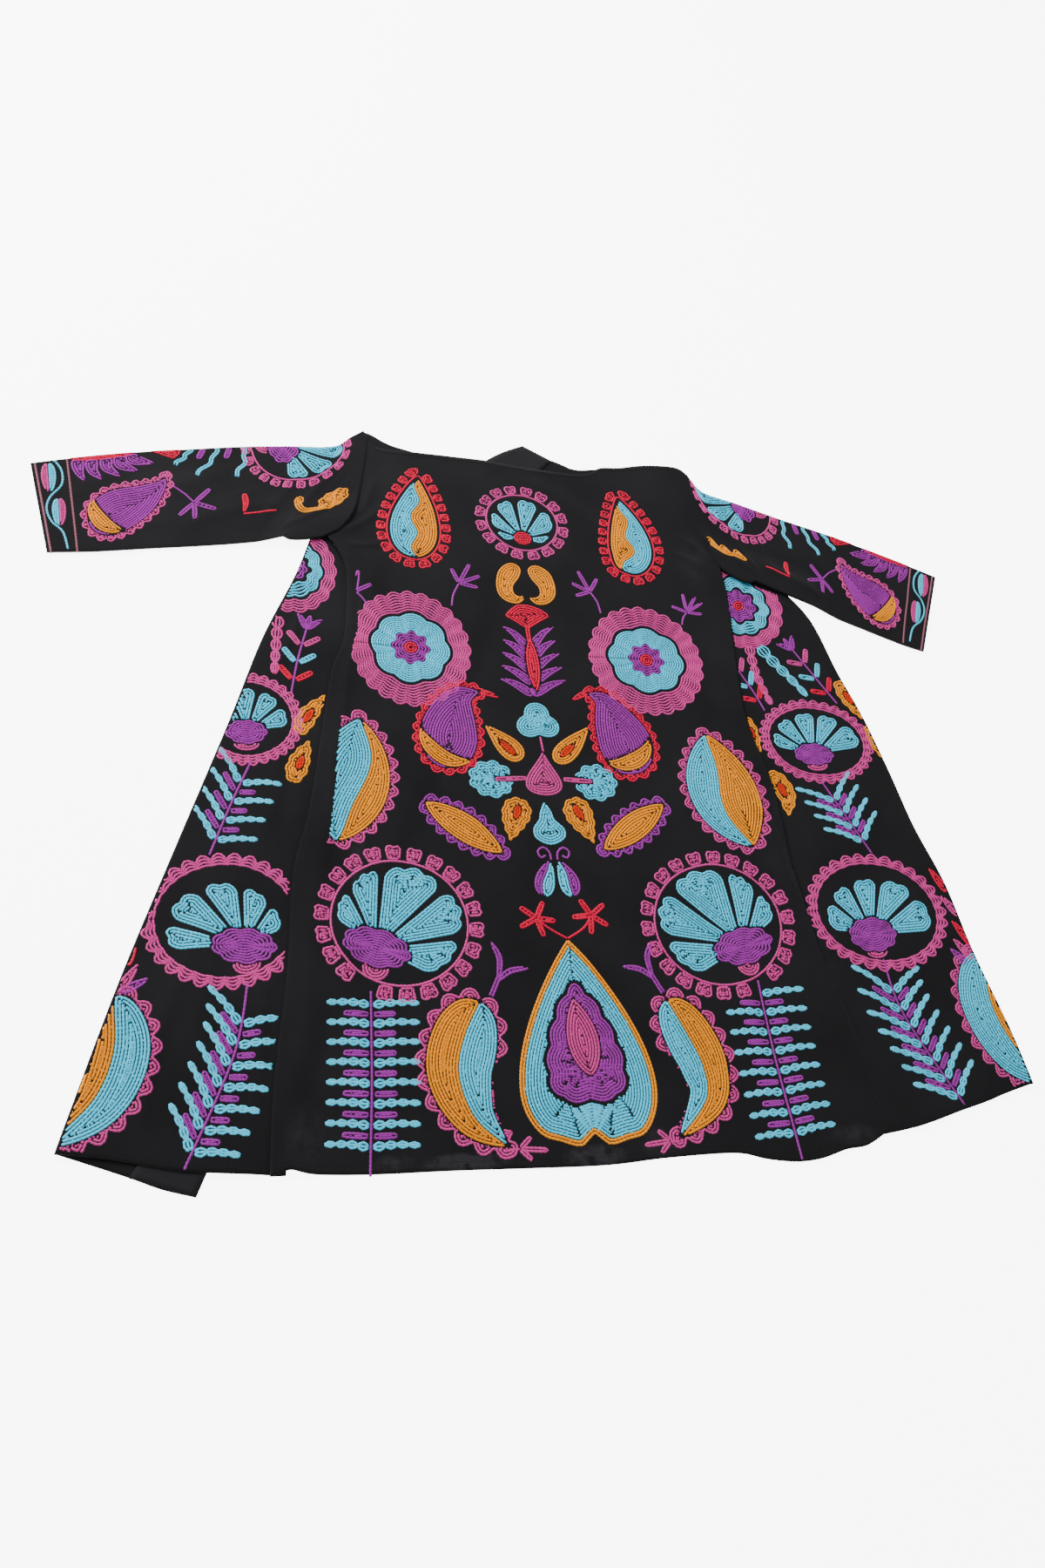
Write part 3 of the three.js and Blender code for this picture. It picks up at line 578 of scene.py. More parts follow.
# ---- the sleeves ----
class SleeveShape:
    """A flattened tube. Its two layers are ruled between the top and the bottom fold, from cuff to armhole,
    and the rows bow out to the armhole seam as they come near it.
    """

    def __init__(self, side, step):
        self.side, self.outward = side, OUTWARD[side]
        table = np.array(SLEEVE[side], float)
        self.top, self.bottom = PlanCurve(table[:, :2]), PlanCurve(table[:, 2:])
        self.rows, self.across = int(SLEEVE_LENGTH / step) + 1, int(SLEEVE_WIDTH / step) + 1
        v = shares(self.rows)
        u = shares(self.across)
        self.grid = self._rows(self._plan(u, v), u, v)

    def _plan(self, u, v):
        """Plan points at shares u across and v along, with the bow towards the armhole."""
        armhole = PlanCurve(ARMHOLE[self.side]).at(u)
        armhole[:, 0] += self.outward * (SEAM_GAP / 2 + 0.6 * ((u == 0) | (u == 1)))
        bow = armhole - lerp(self.top.at(1.0), self.bottom.at(1.0), u[:, None])
        top, bottom = self.top.at(v), self.bottom.at(v)
        ruled = lerp(top[:, None, :], bottom[:, None, :], u[None, :, None])
        near_armhole = np.clip((v - UNDERARM_SAG_FROM) / (1 - UNDERARM_SAG_FROM), 0, 1)
        sag = UNDERARM_SAG[self.side] * np.sqrt(np.sin(np.pi * near_armhole))
        sagged = unit(bottom - top)[:, None, :] * (sag[:, None] * u[None, :] ** 3)[..., None]
        return ruled + bow[None] * (v**2)[:, None, None] + sagged

    def _rows(self, line, u, v):
        """Closed rows: upper layer, bottom fold, lower layer and top fold."""
        inset = SLEEVE_RADIUS + CLOTH / 2
        inward = unit(line[:, 1] - line[:, 0]), unit(line[:, -2] - line[:, -1])
        line = line.copy()
        line[:, 0] += inward[0] * inset
        line[:, -1] += inward[1] * inset
        rest = SLEEVE_REST[self.side]
        reach = self.outward * (line[:, -1, 0] - rest["underarm"])
        raised = SLEEVE_LIFT * (1 - smooth((reach - rest["full"]) / (rest["none"] - rest["full"])))
        lower = THREAD_ROOM + lerp(FLOOR_MID, UNDER_MID, v)[:, None]
        lower = lower + raised[:, None] * smooth((u - LIFT_FROM) / LIFT_REACH)
        parting = smooth((v - 0.7) / 0.3)
        middle = lerp(2 * SLEEVE_RADIUS - 0.7, UPPER_MID - UNDER_MID, parting)[:, None]
        apart = lerp(2 * SLEEVE_RADIUS, middle, np.sin(np.pi * u)[None, :])
        width = np.linalg.norm(line[:, -1] - line[:, 0], axis=1)[:, None] * u[None, :]
        along = np.broadcast_to(v[:, None] * SLEEVE_LENGTH, width.shape)
        relief = np.maximum(creased(along, width, CREASES_SLEEVE[self.side]) + unevenness(along, width), -0.6)
        off_folds = smooth(4 * u) * smooth(4 * (1 - u))
        relief = relief * off_folds[None, :] * smooth((1 - v) * 14 + 0.3)[:, None]
        upper = with_height(line, lower + apart + relief)
        under = with_height(line, lower)
        angles = np.linspace(0, np.pi, SLEEVE_ROLL_STEPS + 1)[1:-1]
        at_bottom = roll_points(line[:, -1], -inward[1], lower[:, -1], SLEEVE_RADIUS, angles)[:, ::-1]
        at_top = roll_points(line[:, 0], -inward[0], lower[:, 0], SLEEVE_RADIUS, angles)
        return np.concatenate([upper, at_bottom, under[:, ::-1], at_top], axis=1)


# ---- facings ----
def facing_grid(side, step):
    """Middle points of a facing: a strip ruled between its front's edge and its inner side."""
    v = shares(int(FACING_LENGTH / step))
    edge, inner = PlanCurve(FRONT_EDGE[side]).at(v), PlanCurve(FACING_INNER[side]).at(v)
    u = np.linspace(0.01, 1, 10)
    plan = lerp(edge[:, None, :], inner[:, None, :], u[None, :, None])
    height = FACING_MID + 0.1 * np.sin(plan[..., 1] / 23) * np.sin(np.pi * u)[None, :]
    return with_height(plan, height)


# ---- finishes ----
class Value:
    """A number that varies over a surface: arithmetic on it adds Math nodes."""

    def __init__(self, finish, socket):
        self.finish, self.socket = finish, socket

    def _math(self, operation, *values):
        return self.finish.node("ShaderNodeMath", {"operation": operation}, dict(enumerate(values)))

    def __add__(self, other):
        return self._math("ADD", self, other)

    __radd__ = __add__

    def __sub__(self, other):
        return self._math("SUBTRACT", self, other)

    def __rsub__(self, other):
        return self._math("SUBTRACT", other, self)

    def __mul__(self, other):
        return self._math("MULTIPLY", self, other)

    __rmul__ = __mul__

    def sine(self):
        return self._math("SINE", self)

    def absolute(self):
        return self._math("ABSOLUTE", self)

    def fraction(self):
        return self._math("FRACT", self)


class Finish:
    """A material with a Principled BSDF, built node by node."""

    def __init__(self, name):
        self.material = bpy.data.materials.new(name)
        self.material.use_nodes = True
        self.tree = self.material.node_tree
        self.shader = self.tree.nodes["Principled BSDF"]

    def node(self, kind, settings, inputs, output=0):
        """Adds a node: its settings first, then the values or links of its sockets. Returns one output."""
        node = self.tree.nodes.new(kind)
        for key, value in settings.items():
            setattr(node, key, value)
        self.feed(node, inputs)
        return Value(self, node.outputs[output])

    def feed(self, node, inputs):
        """Sets a node's sockets to numbers, or links them to values."""
        for key, value in inputs.items():
            if isinstance(value, Value):
                self.tree.links.new(value.socket, node.inputs[key])
            else:
                node.inputs[key].default_value = value

    def noise(self, vector, scale, detail=2.0, roughness=0.5):
        """Cloudy noise from 0 to 1."""
        inputs = {"Vector": vector, "Scale": scale, "Detail": detail, "Roughness": roughness}
        return self.node("ShaderNodeTexNoise", {}, inputs)

    def mix(self, factor, dark, light):
        """A colour between two, by a factor."""
        inputs = {0: factor, 6: dark, 7: light}
        return self.node("ShaderNodeMix", {"data_type": "RGBA"}, inputs, 2)

    def ranged(self, value, low, high, start, end):
        """The value's range from low to high, stretched to run from start to end."""
        inputs = {"Value": value, 1: low, 2: high, 3: start, 4: end}
        return self.node("ShaderNodeMapRange", {}, inputs)

    def parts(self, vector):
        """The three parts of a vector."""
        split = self.node("ShaderNodeSeparateXYZ", {}, {0: vector})
        return [Value(self, split.socket.node.outputs[k]) for k in range(3)]

    def bump(self, height, distance, strength):
        """A normal that follows a height, in metres of distance."""
        return self.node("ShaderNodeBump", {}, {"Height": height, "Distance": distance, "Strength": strength})

    def object_place(self):
        """Place on the object, in metres."""
        return self.node("ShaderNodeTexCoord", {}, {}, 3)


def woven_cotton(name, colour, worn_and_highlight, sheen):
    """Matt plain-weave cotton: fine threads both ways, slubs, soft clouds of wear, fluffy specks, and lighter
    patches of dust and of painted highlight on folds.
    """
    finish = Finish(name)
    place_m = finish.object_place()
    x, y, _ = finish.parts(place_m)
    drift = finish.noise(place_m, 9.0, 3.0)
    slub_along = finish.noise(finish.node("ShaderNodeCombineXYZ", {}, {0: x * 900.0, 1: y * 45.0}), 1.0, 2.0)
    slub_across = finish.noise(finish.node("ShaderNodeCombineXYZ", {}, {0: x * 45.0, 1: y * 900.0}), 1.0, 2.0)
    warp, weft = (x * (2 * np.pi / WEAVE)).sine(), (y * (2 * np.pi / WEAVE)).sine()
    weave = warp * weft * 0.5 + slub_along * 0.9 + slub_across * 0.9
    clouds = finish.ranged(drift, 0.3, 0.75, 0.0, 1.0)
    lint_and_highlights = finish.ranged(finish.noise(place_m, 260.0, 2.0, 0.7), 0.66, 0.8, 0.0, 0.35)
    # Lighter patches: dust and wear by the hems, and painted highlights where the folds and creases would
    # catch the light.
    for patch_x, patch_y, half_x, half_y, strength in DUST_AND_HIGHLIGHT_PATCHES:
        middle = (np.array([patch_x, patch_y]) + TABLE_TO_FRAME[:2]) * MM
        off_x, off_y = (x - middle[0]) * (1 / (half_x * MM)), (y - middle[1]) * (1 / (half_y * MM))
        near = finish.ranged(off_x * off_x + off_y * off_y, 0.0, 1.6, strength, 0.0)
        lint_and_highlights = lint_and_highlights + near * finish.ranged(finish.noise(place_m, 70.0, 4.0, 0.7), 0.36, 0.7, 0.0, 2.6)
    tone = finish.mix(clouds * 0.65 + (slub_along + slub_across) * 0.22, colour, worn_and_highlight)
    coloured = finish.mix(lint_and_highlights, tone, (worn_and_highlight[0] * 2.2, worn_and_highlight[1] * 2.2, worn_and_highlight[2] * 2.3, 1))
    finish.feed(finish.shader, {
        "Base Color": coloured,
        "Roughness": finish.ranged(drift, 0.3, 0.7, 0.94, 0.84),
        "Sheen Weight": sheen,
        "Sheen Roughness": 0.45,
        "Sheen Tint": (0.75, 0.76, 0.85, 1),
        "Specular IOR Level": 0.12,
        "Normal": finish.bump(weave, 0.00012, 0.55),
    })
    return finish.material


def chain_thread(name):
    """Soft twisted thread in chain stitch: the tone is the row's own, with painted shade between the two legs
    of each stitch, where one stitch slips into the next and across the twist. U runs along a row in stitches
    and V across it.
    """
    finish = Finish(name)
    uv = finish.node("ShaderNodeUVMap", {"uv_map": "thread"}, {})
    along, across, _ = finish.parts(uv)
    tone = finish.node("ShaderNodeVertexColor", {"layer_name": "tone"}, {})
    off_middle = (across - 0.5).absolute()
    leg = finish.ranged(off_middle, 0.0, 0.16, 0.0, 1.0)
    link = finish.ranged((along - off_middle * 0.8).fraction(), 0.0, 0.2, 0.0, 1.0)
    twist = ((along * 7.0 + across * 3.0) * (2 * np.pi)).sine()
    # Painted shade: the colour darkens in the grooves between the legs, between the links and along the
    # twist.
    lit = leg * 0.45 + link * 0.35 + twist * 0.06 + 0.16
    uneven = finish.noise(finish.object_place(), 150.0, 2.0)
    groove_shaded_tone = finish.node("ShaderNodeMix", {"data_type": "RGBA", "blend_type": "MULTIPLY"}, {
        0: 1.0, 6: tone, 7: (0.5, 0.5, 0.52, 1),
    }, 2)
    coloured = finish.mix(lit + (uneven - 0.5) * 0.5, groove_shaded_tone, tone)
    finish.feed(finish.shader, {
        "Base Color": coloured,
        "Roughness": finish.ranged(uneven, 0.3, 0.7, 0.66, 0.8),
        "Sheen Weight": 0.03,
        "Sheen Roughness": 0.4,
        "Specular IOR Level": 0.12,
        "Normal": finish.bump(lit + twist * 0.25, 0.0004, 0.6),
    })
    return finish.material


def plain_floor(name, colour, glow):
    """Pale matt floor, lit from within, with the faintest mottling."""
    finish = Finish(name)
    mottle = finish.noise(finish.object_place(), 1.5, 3.0)
    darker = tuple(0.97 * c for c in colour[:3]) + (1,)
    finish.feed(finish.shader, {
        "Base Color": finish.mix(mottle, darker, colour),
        "Roughness": 0.9,
        "Specular IOR Level": 0.2,
        "Emission Color": (1, 1, 1, 1),
        "Emission Strength": glow,
    })
    return finish.material


# ---- embroidery: outlines ----
def turned(points, degrees):
    """Points turned about the origin."""
    c, s = np.cos(np.radians(degrees)), np.sin(np.radians(degrees))
    return np.asarray(points, float) @ np.array([[c, s], [-s, c]])


def evenly(points, spacing, closed=False):
    """Points at equal distances along a line."""
    points = np.asarray(points, float)
    if closed:
        points = np.concatenate([points, points[:1]])
    length = np.concatenate([[0], np.cumsum(np.hypot(*np.diff(points, axis=0).T))])
    count = max(int(round(length[-1] / spacing)), 2)
    at = np.linspace(0, length[-1], count + 1)
    at = at[:-1] if closed else at
    return np.stack([np.interp(at, length, points[:, k]) for k in (0, 1)], -1)


def oval(x, y, a, b, turn=0.0, lobes=0, depth=0.0, power=1.0, start=0.0):
    """Closed ellipse whose radius swings with |cos| of half the lobes' angle, raised to a power."""
    angle = np.linspace(0, 2 * np.pi, 40 + 24 * lobes, endpoint=False)
    swing = 1 + depth * (np.abs(np.cos(lobes * angle / 2 + start)) ** power - 0.5)
    return turned(np.stack([a * np.cos(angle) * swing, b * np.sin(angle) * swing], -1), turn) + (x, y)


def side_line(axis, amount, base=0.5, tip=1.0, wave=0.0, waves=1.0):
    """Line beside a curved axis: it stands off to the left by an amount and a wave, times t^base (1-t)^tip
    scaled to a peak of 1.
    """
    t = (1 - np.cos(np.linspace(0, np.pi, 61))) / 2
    middle = PlanCurve(axis).at(t)
    peak = (base / (base + tip)) ** base * (tip / (base + tip)) ** tip
    share = t**base * (1 - t) ** tip / peak
    off = (amount + wave * np.sin(2 * np.pi * waves * t)) * share
    return middle + left_of(directions(middle)) * off[:, None]


def shape(points):
    """Closed curve through a few points, with a corner at the first."""
    return PlanCurve([*points, points[0]]).at(shares(24 * len(points)))[:-1]


def between(first, second):
    """Closed outline from one line and back along another."""
    return np.concatenate([first, second[::-1]])


def leaf(axis, left, right=None, base=0.5, tip=1.0):
    """Closed leaf or drop about an axis from its base to its tip."""
    right = left if right is None else right
    return between(side_line(axis, -right, base, tip), side_line(axis, left, base, tip))


def anticlockwise(outline):
    """The outline in anticlockwise order."""
    x, y = outline.T
    area = np.sum(x * np.roll(y, -1) - y * np.roll(x, -1))
    return outline if area > 0 else outline[::-1]


def outward_normals(outline):
    """Normals of an anticlockwise outline, from the points two before and two after each."""
    return -left_of(unit(np.roll(outline, -2, axis=0) - np.roll(outline, 2, axis=0)))


def scalloped(outline, lift, depth, count, power=1.0, plain=None):
    """The outline moved out by a lift, and by a number of rounded scallops of a depth all round. In the plain
    circle (x, y, radius) there are none.
    """
    edge = anticlockwise(evenly(outline, 1.2, closed=True))
    share = np.arange(len(edge)) / len(edge)
    depth = np.full(len(edge), float(depth))
    if plain is not None:
        depth *= smooth((np.hypot(edge[:, 0] - plain[0], edge[:, 1] - plain[1]) - plain[2]) / 8)
    out = lift + depth * np.abs(np.sin(np.pi * count * share)) ** power
    return edge + outward_normals(edge) * out[:, None]


def teeth(outline, lift, height, count, gap=0.25, skip=()):
    """Foot and top of each separate tooth on an outline: it widens outwards to a notched, rounded top. The
    gap is the bare share of the outline between the feet, and the teeth to skip are left out.
    """
    edge = anticlockwise(evenly(outline, 0.5, closed=True))
    normals = outward_normals(edge)
    across = shares(13)
    notch, corner = np.abs(np.sin(2 * np.pi * across)), np.abs(2 * across - 1) ** 4
    top = lift + height * (0.9 + 0.12 * notch - 0.14 * corner)
    found = []
    for i in sorted(set(range(count)) - set(skip)):
        low = ((i + gap / 2 + across * (1 - gap)) / count * len(edge)).astype(int) % len(edge)
        high = ((i + gap / 3 + across * (1 - gap / 1.5)) / count * len(edge)).astype(int) % len(edge)
        found.append((edge[low] + normals[low] * lift, edge[high] + normals[high] * top[:, None]))
    return found


def inside(points, outline):
    """Which points lie inside a closed outline, by counting the sides that a ray crosses."""
    x, y = points[:, 0, None], points[:, 1, None]
    x0, y0 = outline.T
    x1, y1 = np.roll(outline, -1, axis=0).T
    crosses = (y0 > y) != (y1 > y)
    reach = x0 + (y - y0) * (x1 - x0) / np.where(y1 == y0, 1e-9, y1 - y0)
    return (crosses & (x < reach)).sum(axis=1) % 2 == 1


def nearest(points, others):
    """Distance of each point from the nearest of the others."""
    return np.sqrt(((points[:, None, :] - others[None, :, :]) ** 2).sum(axis=2).min(axis=1))


def runs(keep):
    """Start and end of each stretch of True."""
    steps = np.diff(np.concatenate([[0], keep.astype(int), [0]]))
    return zip(np.flatnonzero(steps == 1), np.flatnonzero(steps == -1))


# ---- embroidery: rows of chain stitch ----
class Embroidery:
    """Rows of chain stitch on one piece of cloth: lines in plan, with the name of a thread each."""

    OUTLINE_STEP = 1.6  # between the points of a row, in mm

    def __init__(self, pitch):
        self.pitch, self.rows = pitch, []

    def line(self, points, thread, count=1):
        """Rows side by side along a line."""
        line = evenly(points, self.OUTLINE_STEP)
        side = left_of(directions(line))
        for k in range(count):
            self.rows.append((line + side * (k - (count - 1) / 2) * self.pitch, thread))

    def curve(self, knots, thread, count=1, steps=20):
        """Rows side by side along a curve through a few points."""
        self.line(PlanCurve(knots).at(shares(steps)), thread, count)

    def loop(self, outline, thread):
        """One row round an outline."""
        self.rows.append((evenly(np.concatenate([outline, outline[:1]]), self.OUTLINE_STEP), thread))

    def rings(self, centre, outer, inner, thread):
        """Rows between two outlines round the same centre, each a blend of both."""
        centre = np.array(centre, float)
        angle = np.linspace(-np.pi, np.pi, 241)
        radii = []
        for outline in (outer, inner):
            away = np.asarray(outline, float) - centre
            radii.append(np.interp(angle, np.arctan2(*away.T[::-1]), np.hypot(*away.T), period=2 * np.pi))
        count = max(int(round((radii[0] - radii[1]).mean() / self.pitch)), 1)
        ray = np.stack([np.cos(angle), np.sin(angle)], -1)
        for share in (np.arange(count) + 0.5) / count:
            self.rows.append((centre + ray * lerp(*radii, share)[:, None], thread))

    def fill(self, outline, *bands, holes=()):
        """Rows inside a closed outline, each a pitch further in, in the threads of the bands: (thread, rows).
        A band with no thread leaves the cloth bare. Rows stop where they would meet each other or a hole.
        """
        edge = anticlockwise(evenly(outline, self.OUTLINE_STEP, closed=True))
        inward = -outward_normals(edge)
        threads = [thread for thread, count in bands for _ in range(count)]
        holes = [evenly(hole, self.OUTLINE_STEP, closed=True) for hole in holes]
        first = len(self.rows)
        for k, thread in enumerate(threads):
            distance = (k + 0.5) * self.pitch
            points = edge + inward * distance
            keep = nearest(points, edge) >= 0.96 * distance - 0.15
            for hole in holes:
                keep &= ~inside(points, hole) & (nearest(points, hole) > 0.42 * self.pitch)
            if not keep.any():
                break
            if thread:
                self._add(points, keep, thread)
        self._patch(edge, holes, threads, self.rows[first:])

    def _add(self, points, keep, thread):
        """Adds the kept stretches of a closed row, without the second of two that lie on each other."""
        start = int(np.argmin(keep)) if not keep.all() else 0
        points, keep = np.roll(points, -start, axis=0), np.roll(keep, -start)
        kept = np.flatnonzero(keep)
        apart = np.abs(kept[:, None] - kept[None, :])
        apart = np.minimum(apart, len(points) - apart)
        far = np.sqrt(((points[kept][:, None] - points[kept][None]) ** 2).sum(axis=2))
        doubled = (far < 0.6 * self.pitch) & (apart * self.OUTLINE_STEP > 2.5 * self.pitch)
        doubled &= kept[:, None] > kept[None, :]
        keep = keep.copy()
        keep[kept[doubled.any(axis=1)]] = False
        whole = keep.all()
        for first, last in runs(keep):
            stretch = points[first:last]
            if whole:
                stretch = np.concatenate([stretch, stretch[:1]])
            if len(stretch) > 1:
                self.rows.append((stretch, thread))

    def _patch(self, edge, holes, threads, rows):
        """Short rows across the places that the rows inside an outline leave bare: level, then upright."""
        if not rows:
            return
        pitch = self.pitch
        worked = np.array([thread is not None for thread in threads])
        laid = np.concatenate([points for points, _ in rows])
        for level in (1, 0):
            low, high = edge.min(axis=0), edge.max(axis=0)
            run = np.arange(low[1 - level], high[1 - level], 0.8)
            added = []
            for step in np.arange(low[level] + 0.5 * pitch, high[level], 0.75 * pitch):
                line = np.empty((len(run), 2))
                line[:, level], line[:, 1 - level] = step, run
                near = laid[np.abs(laid[:, level] - step) < pitch]
                if not len(near):
                    continue
                keep = inside(line, edge)
                keep[keep] = nearest(line[keep], near) > 0.52 * pitch
                if not keep.any():
                    continue
                depth = nearest(line, edge)
                band = np.minimum((depth / pitch).astype(int), len(threads) - 1)
                keep &= (depth > 0.42 * pitch) & worked[band] & (depth < len(threads) * pitch)
                for hole in holes:
                    keep &= ~inside(line, hole) & (nearest(line, hole) > 0.4 * pitch)
                for start, end in runs(keep):
                    added.append((line[max(start - 1, 0):end + 1], threads[band[(start + end) // 2]]))
            self.rows.extend(added)
            laid = np.concatenate([laid, *(points for points, _ in added)])

    def kept(self, visible):
        """The rows where the cloth shows, cut where it doesn't."""
        found = []
        for points, thread in self.rows:
            for first, last in runs(visible(points)):
                if last - first > 1:
                    found.append((points[first:last], thread))
        return found


def stitched(name, rows, surface, settings):
    """One mesh of raised chain-stitch rows on a surface: a low ridge with a flat back along each row, wide in
    the middle of a stitch and narrow where it slips into the next.
    """
    half_stitch = settings.stitch / MM / 2
    width, height = settings.width / MM, settings.height / MM
    dice = np.random.default_rng(7)
    centres = [evenly(line, half_stitch) for line, _ in rows]
    counts = np.array([len(centre) for centre in centres])
    starts = np.cumsum(counts) - counts
    base, normal = surface(np.concatenate(centres))
    row = np.repeat(np.arange(len(rows)), counts)
    station = np.arange(len(base)) - starts[row]
    ends = (station == 0) | (station == counts[row] - 1)
    after, before = np.arange(len(base)) + 1, np.arange(len(base)) - 1
    after[station == counts[row] - 1] -= 1
    before[station == 0] += 1
    side = np.cross(normal, unit(base[after] - base[before]))
    fullness = np.where(ends, 0.7, np.where(station % 2 == 0, 0.74, 1.0))
    half = (width / 2 * fullness)[:, None, None]
    rise = (height * dice.uniform(0.88, 1.08, len(rows))[row] * (0.35 + 0.65 * fullness))[:, None, None]
    offsets = np.array([-1.0, 0.0, 1.0])[None, :, None]
    lifts = np.array([-0.12, 1.0, -0.12])[None, :, None]
    points = base[:, None, :] + side[:, None, :] * half * offsets + normal[:, None, :] * rise * lifts
    ring = np.arange(3)
    here = np.flatnonzero(station < counts[row] - 1)[:, None] * 3
    low, high = here + ring, here + (ring + 1) % 3
    first, last = starts[:, None] * 3, (starts + counts - 1)[:, None] * 3
    flanks = np.stack([low, low + 3, high + 3], -1), np.stack([low, high + 3, high], -1)
    faces = np.concatenate([*(flank.reshape(-1, 3) for flank in flanks), first + ring, last + ring[::-1]])
    uv = np.stack(np.broadcast_arrays(station[:, None] * 0.5, ring[None, :] * 0.5), -1).reshape(-1, 2)
    tone = np.array([tuple(getattr(settings, thread)) for _, thread in rows])
    tone = tone * (1 + dice.uniform(-0.07, 0.07, len(rows)))[:, None]
    tone = np.concatenate([tone, np.ones((len(rows), 1))], axis=1)[np.repeat(row, 3)]
    points = points.reshape(-1, 3)
    material = bpy.data.materials.get("chain-stitch thread") or chain_thread("chain-stitch thread")
    return new_piece(name, points, faces, material, uv, tone)


# ---- embroidery: motifs ----
FAN_THREADS = ("pink", "blue", "purple")
FAN_BOUNDS = (172, 144, 112, 76, 44, 8)  # angles between a front fan's petals


def spot_at(x, y, turn=0.0):
    """A spot for a motif: maps the motif's own points, in mm, to the cloth."""
    return lambda points: turned(points, turn) + (x, y)


def bar(work, start, end, half, thread, holes=()):
    """A round-ended bar."""
    work.fill(leaf([start, end], half, base=0.14, tip=0.14), (thread, 3), holes=holes)


def fingers(work, stem, tips, thread, half=3.3):
    """A stem, with fingers that spread from its end."""
    work.curve(stem, thread)
    for tip in tips:
        bar(work, stem[-1], tip, half, thread)


def split_drop(work, axis, half, threads):
    """Drop in two halves parted by a wavy line, in a red ring with separate teeth."""
    wavy = side_line(axis, 0, 0.2, 0.3, wave=5, waves=2.5)
    work.fill(between(wavy, side_line(axis, half)), (threads[0], 20))
    work.fill(between(side_line(axis, -half), wavy), (threads[1], 20))
    ring = scalloped(leaf(axis, half), 4.0, 0, 1)
    work.loop(ring, "red")
    for foot, top in teeth(ring, 1.2, 13.5, 21, 0.26):
        work.fill(between(foot, top), ("red", 5))


def ring_fan(work, spot, ring, tooth, hub, petals, threads, cone=None):
    """A fan of petals on a hub, in a ring with separate teeth.
    ring: half sizes and turn. tooth: number, height and the teeth left out, or None for a scalloped band.
    hub: place, half sizes and turn.
    petals: angles between which each lies, notches in its end, room to the ring beside and above the hub, and
    room to the next petal.
    """
    a, b, turn = ring
    count, height, left_out = tooth
    hub_x, hub_y, hub_a, hub_b, hub_turn = hub
    bounds, notches, (beside, above), gap = petals
    centre = np.array([hub_x, hub_y])
    hub_line = spot(oval(*centre, hub_a, hub_b, hub_turn, lobes=9, depth=0.13))
    if left_out is None:
        rim = oval(0, 0, a + height, b + height, turn, lobes=count, depth=0.11)
        work.rings(spot([(0, 0)])[0], spot(rim), spot(oval(0, 0, a, b, turn)), threads[0])
    else:
        work.loop(spot(oval(0, 0, a, b, turn)), threads[0])
        for foot, top in teeth(oval(0, 0, a, b, turn), 1.2, height, count, 0.28, left_out):
            work.fill(spot(between(foot, top)), (threads[0], 5))
    for start, end in zip(bounds[:-1], bounds[1:]):
        angle = np.radians(np.linspace(start - gap, end + gap, 31))
        ray = np.stack([np.cos(angle), np.sin(angle)], -1)
        # A ray meets the ring where centre + r ray lies on the ellipse: a quadratic in r.
        q2, q0 = ((ray / (a, b)) ** 2).sum(axis=1), ((centre / (a, b)) ** 2).sum() - 1
        q1 = 2 * (ray * centre / (a * a, b * b)).sum(axis=1)
        reach = (-q1 + np.sqrt(q1**2 - 4 * q2 * q0)) / (2 * q2)
        reach -= lerp(beside, above, np.maximum(np.sin(angle), 0))
        share = shares(31)
        crown = 0.9 + 0.1 * np.sin(np.pi * share) ** 0.5 + 0.045 * np.abs(np.sin(np.pi * notches * share))
        end_line = centre + ray * (reach * crown)[:, None]
        petal = np.concatenate([
            np.linspace(centre + ray[0] * 9, end_line[0], 12)[:-1], end_line,
            np.linspace(end_line[-1], centre + ray[-1] * 9, 12)[1:],
        ])
        work.fill(spot(petal), (threads[1], 20), holes=[hub_line])
    if cone is not None:
        tail = leaf(spot([centre, (centre + cone) / 2, cone]), 15, base=0.8, tip=0.5)
        work.fill(tail, (threads[0], 8), holes=[hub_line])
    core = turned([(hub_b - hub_a, 0), (hub_a - hub_b, 0)], hub_turn) + centre
    core_line = oval(*centre, hub_a - hub_b + 1.5, 1.5, hub_turn)
    work.rings(spot([centre])[0], hub_line, spot(core_line), threads[2])
    work.line(spot(core), threads[2])


def rosette(work, spot, outer, flower, star, dot, lobes=(24, 8), ditch=1.0):
    """A pink band with a scalloped rim round a blue lobed flower, a purple star and a red dot. Lobes are the
    numbers on the rim and on the flower, and a ditch over 1 leaves bare cloth round the star.
    """
    bloom = oval(0, 0, *flower, lobes=lobes[1], depth=0.1, start=0.5)
    centre = oval(0, 0, star, star, lobes=8, depth=0.26, power=1.2, start=0.4)
    eye = oval(0, 0, dot, dot)
    rim = oval(0, 0, *outer, lobes=lobes[0], depth=0.07)
    middle = spot([(0, 0)])[0]
    work.rings(middle, spot(rim), spot(bloom * 1.07), "pink")
    work.rings(middle, spot(bloom), spot(centre * ditch), "blue")
    work.rings(middle, spot(centre), spot(eye), "purple")
    work.fill(spot(eye), ("red", 4))


def beaded(work, line, thread, half, beads, taper=0.3, waist=0.4):
    """A strip of rows along a line that spread into beads and narrow towards its end."""
    t = shares(14 * beads + 1)
    middle = PlanCurve(line).at(t)
    width = half * (1 - taper * t) * (waist + (1 - waist) * np.abs(np.sin(np.pi * beads * t)) ** 0.7)
    off = left_of(directions(middle)) * np.maximum(width - work.pitch / 2, 0.4)[:, None]
    sides = (-1, 1) if half < 6 else (-1, -0.35, 0.35, 1)
    for side in sides:
        work.line(middle + off * side, thread)
    if half < 6:
        work.line(middle, thread)


